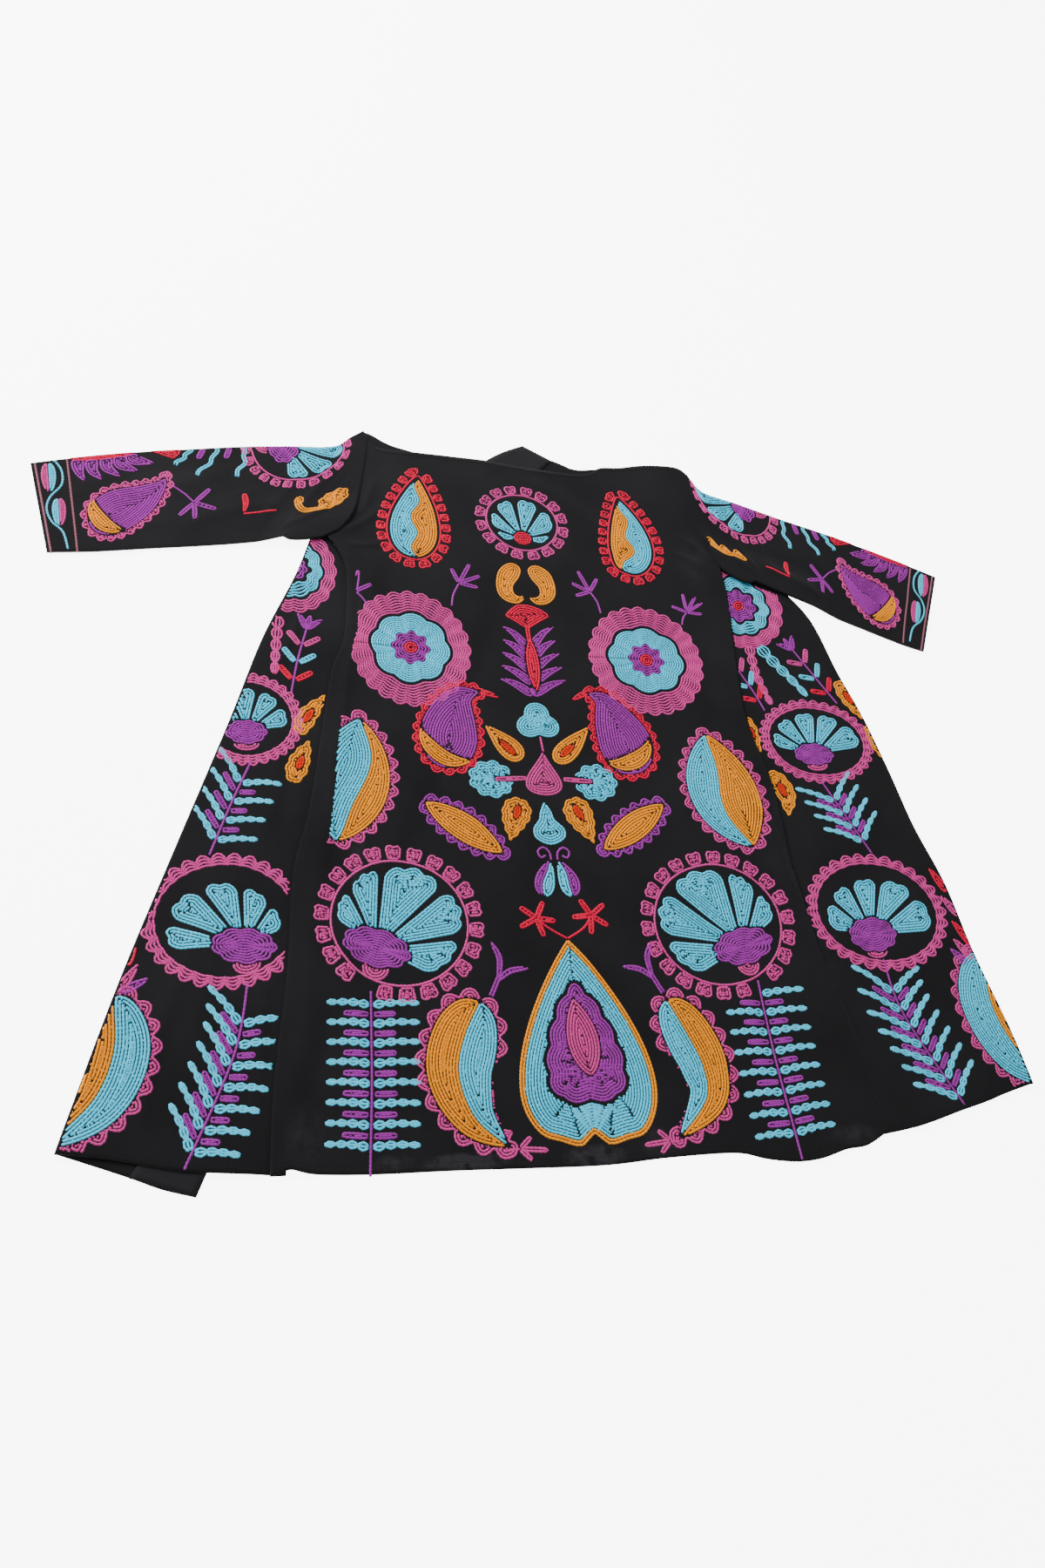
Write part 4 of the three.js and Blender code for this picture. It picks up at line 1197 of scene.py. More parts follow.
def fern(
    work, stem, rows, reaches, lean=(0.05, 0.05), half=5.7, first=0.04, last=0.9, waist=0.2, opening=(-1, 1),
):
    """Beaded blue fronds and plain purple bars in turn, on both sides of a stem.
    reaches: length of the fronds and of the bars. lean: how far each side's fronds lean back along the stem.
    first, last: shares of the stem where they grow. opening: the sides, -1 and 1, of the first fronds.
    """
    curve = PlanCurve(stem)
    work.line(curve.at(shares(40)), "purple")
    for i, share in enumerate(np.linspace(first, last, 2 * rows - 1)):
        root = curve.at(share)
        ahead = curve.at(min(share + 0.03, 1.0)) - curve.at(share - 0.03)
        ahead /= np.hypot(*ahead)
        for hand in opening if i == 0 else (-1, 1):
            out = np.array([-ahead[1], ahead[0]]) * hand
            reach = reaches[i % 2] * (1 + 0.06 * np.sin(3.1 * i + hand))
            end = root + (out - ahead * lean[hand > 0]) * reach
            if i % 2 == 0:
                frond = [root + out * 2.5, (root + end) / 2 - ahead * 1.5, end]
                beaded(work, frond, "blue", half, 4, 0.34, waist)
            else:
                bar(work, root + out * 2, end, 3.8, "purple")


def edged_leaf(work, axis, halves, divide, threads, border, powers=(0.5, 1.0), wave=0.0, plain=None):
    """A leaf in two colours, parted by a line beside its axis, in a border with scallops.
    halves: half widths left and right of the axis. divide: how far left of it the colours part.
    border: thread, lift, depth and number of scallops.
    """
    low, high = side_line(axis, -halves[1], *powers), side_line(axis, halves[0], *powers)
    middle = side_line(axis, divide, *powers, wave=wave)
    work.fill(between(middle, high), (threads[0], 20))
    work.fill(between(low, middle), (threads[1], 20))
    thread, lift, depth, count = border
    whole = between(low, high)
    work.fill(scalloped(whole, lift, depth, count, 0.8, plain), (thread, 12), holes=[whole])


def paisley(work, axis, half, crescent, tail, edge="red"):
    """Hooked paisley: purple, with a gold crescent across its foot, and a scalloped border and tail.
    crescent: two ends, then how far its outer and inner side bow out.
    """
    start, end, outer, inner = crescent
    body = leaf(axis, half, tip=1.05)
    moon = leaf([start, end], -inner, outer, base=0.5, tip=0.5)
    work.fill(body, ("purple", 20), holes=[moon])
    work.fill(moon, ("gold", 8))
    work.fill(scalloped(body, 4.6, 6, 22, 0.8), (edge, 6), holes=[body])
    work.fill(leaf([axis[-1], tail[0], tail[1]], 4.5, base=0.2, tip=0.6), (edge, 3))


def seeded(work, axis, half, seed, tip=1.2, scallops=0):
    """A small gold drop with an orange-red seed."""
    drop = leaf(axis, half, tip=tip)
    if scallops:
        drop = scalloped(drop, -0.5, 2.2, scallops)
    kernel = leaf(seed, 4.6, base=0.7, tip=0.9)
    work.fill(drop, ("gold", 12), holes=[kernel])
    work.fill(kernel, ("orange", 4))


# ---- embroidery: the back ----
def chest_motifs(work):
    """Two drops, a ringed flower, commas, a fan and a branched spindle, and two rosettes with sprigs."""
    split_drop(work, [(-148, 277), (-149, 320), (-139, 406)], 31, ("blue", "gold"))
    split_drop(work, [(131, 281), (149, 318), (141, 401)], 29, ("gold", "blue"))
    ring_fan(
        work, spot_at(-2, 347), (49, 46, 0), (16, 15, ()), (-1, -26, 12, 10.5, 0),
        ((198, 164, 129, 96, 61, 15, -20), 2, (9, 9), 3.6), ("pink", "blue", "red"),
    )
    comma = shape([(-9, 231), (-16, 227), (-23, 232), (-23, 243), (-14, 257), (-11, 270), (-18, 278),
                   (-29, 277), (-41, 266), (-46, 247), (-44, 230), (-34, 219), (-20, 216), (-11, 222)])
    work.fill(comma, ("gold", 12))
    work.fill(comma * (-1, 1) + (-13, -1), ("gold", 12))
    angle = np.radians(np.linspace(28, 152, 61))
    reach = 35 * (1 - 0.07 * np.abs(np.sin(2.5 * angle + 1.57)))
    fan = np.stack([reach * np.cos(angle), reach * np.sin(angle) * 1.02], -1) + (-10, 181)
    work.fill(np.concatenate([[(-10, 178)], fan]), ("red", 20))
    work.line([(-10, 184), (-10, 172), (-9, 158)], "red", 2)
    spindle = leaf([(-7, 86), (-8, 125), (-9, 166)], 8.5, base=0.8, tip=0.8)
    work.fill(spindle, ("red", 5))
    for i in range(5):
        root = np.array([-10.5 - 0.5 * i, 147 - 16.5 * i])
        for hand, tip in ((-1, (-46, 182)), (1, (27, 184))):
            end = np.array(tip, float) + (hand * 2.6 * i, -19.5 * i) - root
            bend = root + end * (0.5, 0.66)
            work.fill(leaf([root, bend, root + end], 6.4, base=0.3, tip=0.85), ("purple", 4), holes=[spindle])
    work.fill(leaf([(-10, 82), (-10, 92)], 6, base=0.8, tip=0.3), ("purple", 3), holes=[spindle])
    rosette(work, spot_at(-163, 139), (74, 82), (47, 48), 22, 8.5)
    rosette(work, spot_at(144, 140), (76, 81), (49, 47), 22, 9)
    fingers(work, [(-107, 205), (-104, 222), (-95, 241)],
            [(-104, 263), (-79, 272), (-66, 255), (-70, 236)], "purple")
    fingers(work, [(-212, 192), (-220, 204), (-228, 214)],
            [(-243, 216), (-236, 238), (-224, 247), (-208, 227)], "purple")
    fingers(work, [(91, 208), (88, 226), (80, 241)],
            [(56, 253), (67, 274), (93, 264), (59, 233)], "purple")
    fingers(work, [(203, 198), (206, 209), (213, 219)],
            [(192, 228), (212, 250), (230, 246), (238, 236), (235, 217)], "purple", 3.0)


def waist_motifs(work):
    """Two hooked paisleys, an onion flower between clouds, seeds, almonds, a gourd and twin drops."""
    paisley(work, [(-119, -24), (-124, 12), (-116, 50), (-102, 74), (-80, 82)], 35,
            ((-155, 32), (-95, -11), 31, 11), ((-70, 80), (-56, 75)))
    paisley(work, [(94, -26), (99, 12), (88, 50), (76, 76), (57, 86)], 34,
            ((128, 25), (69, -5), -9, -31), ((49, 83), (36, 76)))
    work.fill(oval(-11, 43, 24, 23, lobes=3, depth=0.42, start=np.pi / 4, power=1.1), ("blue", 20))
    work.fill(leaf([(-12, -57), (-11, -30), (-8, 8)], 23, base=0.5, tip=1.7), ("pink", 20))
    work.line([(-8, 2), (-10, 22)], "pink")
    bars = [((-31, -34), (-72, -37)), ((12, -35), (50, -37))]
    for (x, y), sizes, ends in zip(((-76, -37), (54, -38)), ((27, 24), (26, 24)), bars):
        cover = leaf(ends, 3.6, base=0.14, tip=0.14)
        work.fill(oval(x, y, *sizes, lobes=9, depth=0.16), ("blue", 20), holes=[cover])
        bar(work, *ends, 3.6, "pink")
    seeded(work, [(-35, -9), (-54, 10), (-80, 38)], 15, [(-42, -4), (-64, 18)])
    seeded(work, [(5, -12), (28, 10), (57, 42)], 14, [(12, -5), (34, 15)])
    seeded(work, [(-42, -62), (-52, -88), (-60, -117)], 17, [(-45, -70), (-52, -90)], 1.1, 11)
    seeded(work, [(20, -60), (30, -87), (42, -118)], 17, [(22, -68), (33, -90)], 1.1, 11)
    for ends in (((-157, -69), (-71, -132)), ((135, -67), (53, -126))):
        almond = leaf(ends, 17, base=0.75, tip=0.75)
        work.fill(scalloped(almond, 3.4, 7.5, 15, 0.8), ("purple", 8), holes=[almond])
        work.fill(almond, ("gold", 12))
    work.fill(shape([(-14, -63), (-21, -79), (-23, -88), (-31, -100), (-29, -113), (-12, -121), (6, -113),
                     (8, -100), (-3, -88), (-6, -78)]), ("blue", 12))
    for hand in (-1, 1):
        axis = np.array([(17, -186), (14, -165), (4, -137)]) * (hand, 1) + (-9.5, 0)
        outer, inner = side_line(axis, hand * -12.5), side_line(axis, hand * 12.5)
        middle = side_line(axis, hand * -1, wave=1.5)
        work.fill(between(outer, middle), ("purple", 8))
        work.fill(between(middle, inner), ("blue", 8))
        curl = np.array([(4, -140), (5, -130), (12, -124), (19, -129), (16, -137), (10, -134)]) * (hand, 1)
        work.curve(curl + (-9.5, 0), "purple", steps=40)


def skirt_motifs(work):
    """Two side leaves, two ringed fans, the large drop with its stars, two crescents and the hem ferns."""
    for axis, halves, divide in (
        ([(-262, -122), (-241, -48), (-229, 36)], (42, 43), -14),
        ([(244, -121), (216, -48), (208, 34)], (44, 46), 2),
    ):
        edged_leaf(work, axis, halves, divide, ("blue", "gold"), ("pink", 3.3, 9, 22), (0.75, 0.8), wave=7)
    for spot, ring, tooth, hub, bounds, cone in (
        (spot_at(-194, -216), (76, 72, -14), (22, 18, (15,)), (-27, -29, 37, 21, -17),
         (146, 113, 84, 41, 7, -31), (-30, -66)),
        (spot_at(181, -219), (79, 74, 12), (22, 17, (17,)), (27, -28, 37, 21, 14),
         (211, 173, 139, 96, 67, 34), (30, -64)),
    ):
        ring_fan(work, spot, ring, tooth, hub, (bounds, 3, (9, 9), 2.2), FAN_THREADS, cone)
    for centre, turn in (((-39, -212), 10), ((26, -209), -14)):
        for k in range(5):
            angle = np.radians(turn + 54 + 72 * k + (8 if k % 2 else 0))
            tip = np.array(centre) + 23 * np.array([np.cos(angle), np.sin(angle)])
            bar(work, centre, tip, 3.9, "red")
        root = np.array([(-5, -236), (np.sign(turn) * -20 - 5, -224), centre], float)
        work.curve(root, "red", steps=12)
    drop = leaf([(0, -462), (0, -400), (-5, -236)], 77, base=0.34, tip=0.95)
    below = smooth((-425 - drop[:, 1]) / 20)
    drop[:, 1] += below * (13 * np.exp(-((drop[:, 0] - 3) / 6) ** 2) - 2.5 * np.sin(drop[:, 0] / 12) ** 2)
    heart = scalloped(leaf([(0, -417), (-1, -370), (-4, -290)], 42, base=0.24, tip=0.72), -1.5, 4, 11)
    moat = scalloped(heart, 2.8, 0, 1)
    spindle = leaf([(4, -391), (-1, -350), (-7, -305)], 18, base=0.7, tip=0.9)
    work.fill(drop, ("gold", 2), ("blue", 20), holes=[moat])
    work.fill(heart, ("purple", 20), holes=[spindle])
    work.fill(spindle, ("pink", 12))
    for hand, threads, halves, bend in (
        (-1, ("blue", "gold"), (38, 35), [(114, -307), (134, -345), (143, -385), (129, -430)]),
        (1, ("gold", "blue"), (31, 29), [(104, -309), (124, -354), (135, -386), (133, -420)]),
    ):
        def spot(points, hand=hand):
            return np.asarray(points, float) * (hand, 1) + (0.5 - 1.5 * hand, 0)

        axis = spot([*bend, (95, -461)])
        edged_leaf(work, axis, halves, 0, threads, ("pink", 2.6, 10, 18), (0.45, 0.9),
                   plain=(*spot([(100, -408)])[0], 34))
        fingers(work, spot([(96, -464), (84, -463)]), spot([(71, -451), (54, -466), (72, -475)]), "pink")
        work.line(spot([(101, -301), (89, -277)]), "purple", 2)
        work.fill(leaf(spot([(91, -282), (88, -258), (97, -238)]), 3.8, base=0.3, tip=0.4), ("purple", 3))
        work.fill(leaf(spot([(92, -284), (77, -273), (55, -270)]), 3.8, base=0.3, tip=0.4), ("purple", 3))
    fern(work, [(-229, -293), (-232, -390), (-237, -482)], 8, (49, 28), first=0.08, last=0.85)
    fern(work, [(219, -288), (222, -390), (231, -490)], 8, (50, 28), first=0.08, last=0.86, opening=(1,))


# ---- embroidery: fronts and sleeves ----
def plant(work, stem, length=27, half=4.3):
    """A purple tulip on a stem, with pairs of pink, blue and red leaves that lean up beside it."""
    curve = PlanCurve(stem)
    work.line(curve.at(shares(20)), "purple")
    head = curve.at(1.0)
    ahead = head - curve.at(0.8)
    ahead /= np.hypot(*ahead)
    for turn in (-44, 0, 44):
        tip = head + turned(ahead, turn) * (24 if turn else 20)
        work.fill(leaf([head - ahead * 3, (head + tip) / 2, tip], 4.6, base=0.4, tip=0.7), ("purple", 3))
    for share, thread in ((0.18, "red"), (0.44, "blue"), (0.7, "pink")):
        root = curve.at(share)
        for turn in (52, -44):
            tip = root + turned(ahead, turn) * length
            bar(work, lerp(root, tip, 0.12), tip, half, thread)


def bud(work, base, tip, thread, half=5.5):
    """A small pointed bud."""
    work.fill(leaf([base, tip], half, base=0.35, tip=0.75), (thread, 4))


def front_fan(work, spot, size, hub, bounds, room, cone):
    """Flower fan in a scalloped band."""
    ring_fan(work, spot, (*size, 0), (30, 12, None), hub, (bounds, 2, room, 2.6), FAN_THREADS, cone)


def right_front_motifs(work):
    """From underarm to hem: rosette, beads, plants, fan, seeds, fern, larger fan, buds, crescent and fern."""
    rosette(work, spot_at(291, 236), (64, 67), (43, 45), 24, 7.5, (18, 11), 1.13)
    beaded(work, [(295, 172), (297, 128), (309, 82)], "pink", 8.5, 6, 0.35)
    beaded(work, [(310, 172), (332, 140), (364, 98)], "blue", 10.5, 5, 0.45)
    plant(work, [(406, 88), (384, 126), (357, 172)])
    plant(work, [(298, 72), (284, 108), (262, 150)])
    front_fan(work, spot_at(363, 30), (66, 48), (-8, -20, 27, 15, 0), FAN_BOUNDS, (5, 9), (-6, -44))
    seeded(work, [(413, 124), (424, 96), (437, 66)], 11, [(420, 108), (430, 86)], 0.9, 9)
    seeded(work, [(444, 58), (450, 32), (462, -2)], 11, [(449, 42), (454, 20)], 0.9, 9)
    seeded(work, [(268, 62), (272, 38), (279, 8)], 10, [(270, 48), (275, 28)], 0.9, 8)
    seeded(work, [(284, -18), (303, -46), (300, -78)], 14, [(296, -32), (302, -54)], 0.9, 10)
    fern(work, [(356, -26), (378, -72), (405, -128)], 4, (42, 22), (0.9, 0.55), 5.2, 0.28, 0.82, 0.45)
    front_fan(work, spot_at(393, -205), (80, 62), (-14, -30, 31, 21, 4), (176, 136, 104, 70, 36, 0),
              (8, 22), (-14, -60))
    bud(work, (496, -180), (478, -144), "red")
    bud(work, (504, -212), (485, -182), "pink")
    bud(work, (512, -252), (491, -213), "red")
    bud(work, (507, -268), (487, -237), "pink")
    bud(work, (498, -272), (480, -252), "purple")
    edged_leaf(work, [(517, -258), (508, -325), (530, -385), (574, -424)], (40, 33), 9, ("gold", "blue"),
               ("pink", 2.8, 9.5, 21), (0.5, 0.75))
    fern(work, [(385, -266), (396, -335), (452, -452)], 7, (44, 24), (0.95, 0.5), 5.6, 0.2, 0.88, 0.45)


def left_front_motifs(work):
    """From underarm to hem: rosette, beads, plants, fan, seeds, fern, larger fan, buds, crescent and fern."""
    rosette(work, spot_at(-304, 245), (53, 65), (35, 43), 17, 7, (18, 11), 1.25)
    beaded(work, [(-322, 172), (-325, 130), (-327, 92)], "pink", 8.5, 5, 0.35)
    beaded(work, [(-334, 172), (-348, 140), (-376, 102)], "blue", 9.5, 5, 0.45)
    plant(work, [(-308, 66), (-300, 112), (-288, 160)])
    plant(work, [(-392, 82), (-382, 118), (-366, 160)])
    front_fan(work, spot_at(-357, 30), (49, 47), (-2, -18, 23, 15, 0), FAN_BOUNDS, (5, 9), (-1, -42))
    seeded(work, [(-300, 12), (-290, 36), (-268, 66)], 11, [(-294, 28), (-282, 48)], 0.9, 9)
    seeded(work, [(-308, -50), (-300, -24), (-288, 4)], 12, [(-302, -34), (-295, -14)], 0.9, 9)
    fern(work, [(-353, -24), (-374, -76), (-397, -140)], 4, (40, 21), (0.8, 0.35), 5.2, 0.24, 0.84, 0.45)
    front_fan(work, spot_at(-379, -214), (71, 62), (19, -29, 33, 19, -4), (186, 160, 127, 94, 60, 22),
              (9, 24), (24, -60))
    bud(work, (-476, -264), (-467, -234), "red", 5)
    bud(work, (-482, -289), (-463, -259), "pink", 5)
    bud(work, (-481, -291), (-451, -275), "purple", 5)
    edged_leaf(work, [(-484, -294), (-478, -350), (-496, -400), (-540, -440)], (29, 30), -6, ("blue", "gold"),
               ("pink", 2.8, 9.5, 19), (0.5, 0.75))
    fern(work, [(-356, -282), (-370, -360), (-417, -472)], 7, (42, 22), (0.85, 0.3), 5.6, 0.22, 0.88, 0.45)


def beneath_motifs(work, hand):
    """The face that rests on the surface: rosette, plants, fans, ferns and a crescent, for hand -1 or 1."""
    def at(*points):
        return [(hand * x, y) for x, y in points]

    rosette(work, spot_at(*at((190, 250))[0]), (66, 68), (43, 45), 20, 7.5)
    plant(work, at((150, 60), (160, 105), (172, 150)))
    plant(work, at((235, 60), (228, 105), (214, 150)))
    front_fan(work, spot_at(*at((205, -10))[0]), (66, 52), (0, -20, 24, 14, 0), FAN_BOUNDS, (6, 12), (0, -48))
    fern(work, at((205, -80), (212, -130), (222, -180)), 4, (44, 24), (0.6, 0.6), 5.0, waist=0.45)
    front_fan(work, spot_at(*at((250, -270))[0]), (70, 60), (0, -28, 28, 18, 0), (176, 140, 108, 72, 40, 4),
              (8, 20), (0, -57))
    fern(work, at((262, -345), (276, -400), (292, -462)), 5, (44, 25), (0.5, 0.5), 5.2, waist=0.45)
    edged_leaf(work, at((395, -250), (418, -330), (405, -430)), (34, 34), 0, ("blue", "gold"),
               ("pink", 2.8, 8, 26), (0.5, 0.75))


def sleeve_motifs(work, mirror, hooked):
    """Cuff vine, comb, paisley, tendrils, sprig, stroke and cloud. Points are mm from the cuff, and down from
    the top fold. A mirror of -1 sets them on the other face. The cloud is hooked, or a strip with peaks.
    """
    def spot(points):
        points = np.asarray(points, float)
        return points if mirror > 0 else points * (1, -1) - (0, np.pi * SLEEVE_RADIUS)

    for place_along in (5, 43):
        work.line(spot([(place_along, 0), (place_along + 1, 140)]), "rose")
    vine = [(27, 0), (35, 18), (33, 39), (17, 54), (10, 70), (14, 89), (27, 106), (31, 132)]
    work.line(spot(PlanCurve(vine).at(shares(60))), "blue")
    for ends, threads in ((((20, 4), (17, 48)), ("pink", "blue")), (((27, 57), (24, 98)), ("blue", "pink"))):
        axis = spot(ends)
        first, second = threads[::mirror]
        work.fill(between(side_line(axis, 0), side_line(axis, 9.5, 0.4, 0.5)), (first, 5))
        work.fill(between(side_line(axis, -9.5, 0.4, 0.5), side_line(axis, 0)), (second, 5))
    work.fill(spot([(44, -2), (128, -2), (120, 7), (84, 9), (50, 7)]), ("red", 3))
    for x, y, tip_x, tip_y in (
        (55, 4, 64, 42), (72, 6, 87, 42), (90, 6, 110, 38), (107, 5, 133, 32), (122, 3, 153, 21),
    ):
        tooth = spot([(x, y), (x + 1, (y + tip_y) / 2), (tip_x, tip_y)])
        work.fill(leaf(tooth, 8.5, base=0.2, tip=1.0), ("purple", 5))
    work.fill(spot([(138, -2), (182, -2), (180, 8), (172, 15), (158, 9)]), ("red", 8))
    t = shares(40)
    ripple = np.stack([2.2 * np.sin(4.5 * np.pi * t), 0 * t], -1)
    for tendril in (
        ((194, 0), (186, 12), (172, 24)), ((226, 0), (220, 20), (200, 42)), ((258, 0), (262, 22), (252, 48)),
    ):
        work.line(spot(PlanCurve(tendril).at(t) + ripple), "blue", 2)
    bar(work, *spot([(210, 1), (202, 17)]), 4.4, "purple")
    bar(work, *spot([(243, 1), (237, 19)]), 4.4, "purple")
    bow = (-6, -27) if mirror > 0 else (27, 6)
    paisley(work, spot([(62, 93), (94, 89), (132, 74), (156, 56), (163, 42)]), 32,
            (*spot([(72, 62), (112, 114)]), *bow), spot([(166, 36), (164, 32)]), "pink")
    work.line(spot([(172, 56), (190, 70), (203, 84)]), "purple")
    for tip in ((222, 64), (234, 97), (207, 110), (184, 102)):
        bar(work, *spot([(203, 84), tip]), 3.8, "purple")
    work.fill(leaf(spot([(272, 105), (272, 90), (267, 74)]), 4.6, base=0.5, tip=0.3), ("red", 3))
    work.line(spot([(272, 106), (316, 103)]), "red")
    if hooked:
        work.fill(spot(oval(392, 97, 22, 16, 14, lobes=8, depth=0.14)), ("gold", 12))
        work.fill(spot(oval(343, 88, 7, 8)), ("gold", 5))
        hook = PlanCurve([(342, 92), (350, 103), (366, 107), (384, 107)])
        work.line(spot(hook.at(shares(20))), "gold", 3)
    else:
        t = shares(61)
        foot = np.stack([428 - 76 * t, 122 - 15 * t], -1)
        rise = 13 - 8 * t + (8 + 7 * t) * np.abs(np.sin(3 * np.pi * t)) ** 1.3
        work.fill(spot(between(foot, foot - np.stack([0 * t, rise], -1))), ("gold", 12))


def sleeve_fan(work, along, half):
    """Fan that lies across the top fold, with its hub towards the cuff."""
    ring_fan(work, spot_at(along, -2, turn=-90), (57, half, 0), (24, 13, ()), (0, -20, 29, 20, 0),
             ((172, 140, 112, 68, 40, 8), 2, (5, 5), 2.0), FAN_THREADS, (0, 5 - half))


# ---- settings ----
def colour_setting(name, default, description):
    """A colour setting, with alpha where the default has it."""
    return bpy.props.FloatVectorProperty(
        name=name, description=description, default=default, size=len(default), subtype="COLOR", min=0, max=1,
    )


def length_setting(name, default, description, least):
    """A setting in metres."""
    return bpy.props.FloatProperty(
        name=name, description=description, default=default, min=least, unit="LENGTH",
    )


class CoatClothSettings(bpy.types.PropertyGroup):
    """Sizes and colours of the cloth."""

    step: length_setting("Grid step", 4.5 * MM, "Distance between the points of the cloth", 0.002)
    wall: length_setting("Cloth", 0.9 * MM, "Thickness of the cotton", 0.0003)
    cotton: colour_setting("Cotton", (0.0052, 0.0047, 0.0055, 1), "Colour of the black cotton")
    cotton_worn: colour_setting("Worn cotton", (0.0095, 0.0087, 0.01, 1), "Colour where the cotton has faded")
    facing: colour_setting("Facing", (0.0105, 0.0098, 0.0115, 1), "Colour of the facings")


class CoatThreadSettings(bpy.types.PropertyGroup):
    """Sizes and colours of the embroidery thread."""

    pitch: length_setting("Row spacing", 3.3 * MM, "Distance between rows of stitches", 0.001)
    stitch: length_setting("Stitch", 4.4 * MM, "Length of a chain stitch", 0.001)
    width: length_setting("Row width", 3.5 * MM, "Width of a row of stitches", 0.0005)
    height: length_setting("Row height", 0.9 * MM, "Height of a row above the cloth", 0.0002)
    pink: colour_setting("Pink", (0.66, 0.055, 0.29), "Thread of rings, borders and buds")
    blue: colour_setting("Light blue", (0.07, 0.68, 0.94), "Thread of petals, fronds and leaves")
    purple: colour_setting("Purple", (0.34, 0.026, 0.35), "Thread of hubs, stems, stars and sprigs")
    gold: colour_setting("Gold", (1.0, 0.33, 0.0), "Thread of crescents, commas and seeds")
    red: colour_setting("Red", (0.74, 0.0, 0.05), "Thread of teeth, small stars and buds")
    orange: colour_setting("Orange red", (0.75, 0.03, 0.0), "Thread of the kernels in the seeds")
    rose: colour_setting("Dull rose", (0.3, 0.1, 0.14), "Thread of the lines by the cuffs")


class CoatStageSettings(bpy.types.PropertyGroup):
    """The floor and the lights."""

    floor: colour_setting("Floor", (0.94, 0.94, 0.94, 1), "Colour of the floor")
    key_power: bpy.props.FloatProperty(
        name="Large lamp", description="Power of the soft lamp overhead", default=100.0, min=0, unit="POWER",
    )
    glow: bpy.props.FloatProperty(
        name="Floor glow", description="Light that the floor itself gives", default=7.0, min=0,
    )
    sky: bpy.props.FloatProperty(
        name="Room light", description="Strength of the even light", default=0.85, min=0,
    )


def cut_piece(name, grid, material, wall=None, closed=False):
    """A cloth piece on a grid, in place of its plain solid, which it hides."""
    settings = bpy.context.scene.coat_cloth
    points, quads = cloth_wall(grid, settings.wall / MM if wall is None else wall, closed)
    piece = new_piece(f"{name}_cloth", points, quads, material)
    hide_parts(name)
    return piece


def black_cotton():
    """The finish of the back, the fronts and the sleeves, made once."""
    settings = bpy.context.scene.coat_cloth
    return bpy.data.materials.get("black cotton") or woven_cotton(
        "black cotton", settings.cotton, settings.cotton_worn, 0.03
    )


class COAT_OT_make_back(bpy.types.Operator):
    """Cuts and lays the back, with its side edges folded over the fronts"""

    bl_idname = "coat.make_back"
    bl_label = "Back"

    def execute(self, context):
        grid = back_grid(context.scene.coat_cloth.step / MM)
        cut_piece("back", grid, black_cotton())
        return {"FINISHED"}


class COAT_OT_make_fronts(bpy.types.Operator):
    """Cuts and lays both fronts, folded round at the sides"""

    bl_idname = "coat.make_fronts"
    bl_label = "Fronts"

    def execute(self, context):
        for side in OUTWARD:
            grid = front_grid(side, context.scene.coat_cloth.step / MM)
            cut_piece(f"front_{side}", grid, black_cotton())
        return {"FINISHED"}


class COAT_OT_make_sleeves(bpy.types.Operator):
    """Cuts and lays both sleeves as flattened tubes"""

    bl_idname = "coat.make_sleeves"
    bl_label = "Sleeves"

    def execute(self, context):
        for side in OUTWARD:
            grid = SleeveShape(side, context.scene.coat_cloth.step / MM).grid
            cut_piece(f"sleeve_{side}", grid, black_cotton(), closed=True)
        return {"FINISHED"}


class COAT_OT_make_facings(bpy.types.Operator):
    """Cuts and lays the facings of the fronts' edges"""

    bl_idname = "coat.make_facings"
    bl_label = "Facings"

    def execute(self, context):
        settings = context.scene.coat_cloth
        lighter = tuple(1.35 * c for c in settings.facing[:3]) + (1,)
        material = woven_cotton("facing cotton", settings.facing, lighter, 0.04)
        for side in OUTWARD:
            grid, beneath = facing_grid(side, FACING_STEP), [f"front_{side}"]
            cut_piece(f"facing_{side}", grid, material, wall=FACING_WALL)
        return {"FINISHED"}


# ---- where the sewing lies ----
def on_height(height, lift):
    """A surface for rows: brings plan points to places and normals on a height function, with a lift."""
    def surface(plan):
        x, y = plan.T
        slope_x = (height(x + 1.0, y) - height(x - 1.0, y)) / 2
        slope_y = (height(x, y + 1.0) - height(x, y - 1.0)) / 2
        normal = unit(np.stack([-slope_x, -slope_y, np.ones_like(x)], -1))
        return with_height(plan, height(x, y)) + normal * lift, normal
    return surface


def on_back(points):
    """Which plan points lie on the open part of the back, inside its folded edges and its left tuck."""
    x, y = points.T
    off_tuck = (y >= TUCK_TOP) | (x > column_at(TUCK_LEFT, y, 1))
    return off_tuck & (x > column_at(BACK_EDGE["left"], y) + 2) & (x < column_at(BACK_EDGE["right"], y) - 3)


def hem_at(rows, x):
    """Where a hem lies in y at x."""
    return np.interp(x, *np.array(sorted(rows)).T)


def clear_of(side, points, inner, from_inner, from_fold):
    """Which plan points lie between a front's inner line and its side fold, by distances from both."""
    x, y = points.T
    clear = OUTWARD[side] * (x - column_at(inner[side], y)) > from_inner
    return clear & (OUTWARD[side] * (column_at(SIDE_FOLD[side], y) - x) > SIDE_RADIUS + from_fold)


def on_front(side):
    """Test for the open part of a front, outside the back and below the sleeve."""
    lower = np.array(SLEEVE[side], float)[:, 2:]
    lower = lower[np.argsort(lower[:, 0])]

    def visible(points):
        x, y = points.T
        below = y < np.interp(x, *lower.T, left=1e3, right=1e3) - 3
        above_hem = y > hem_at(HEM_UPPER[side], x) + 4
        return clear_of(side, points, BACK_EDGE, 2.5, 1) & below & above_hem & (y < 292)
    return visible


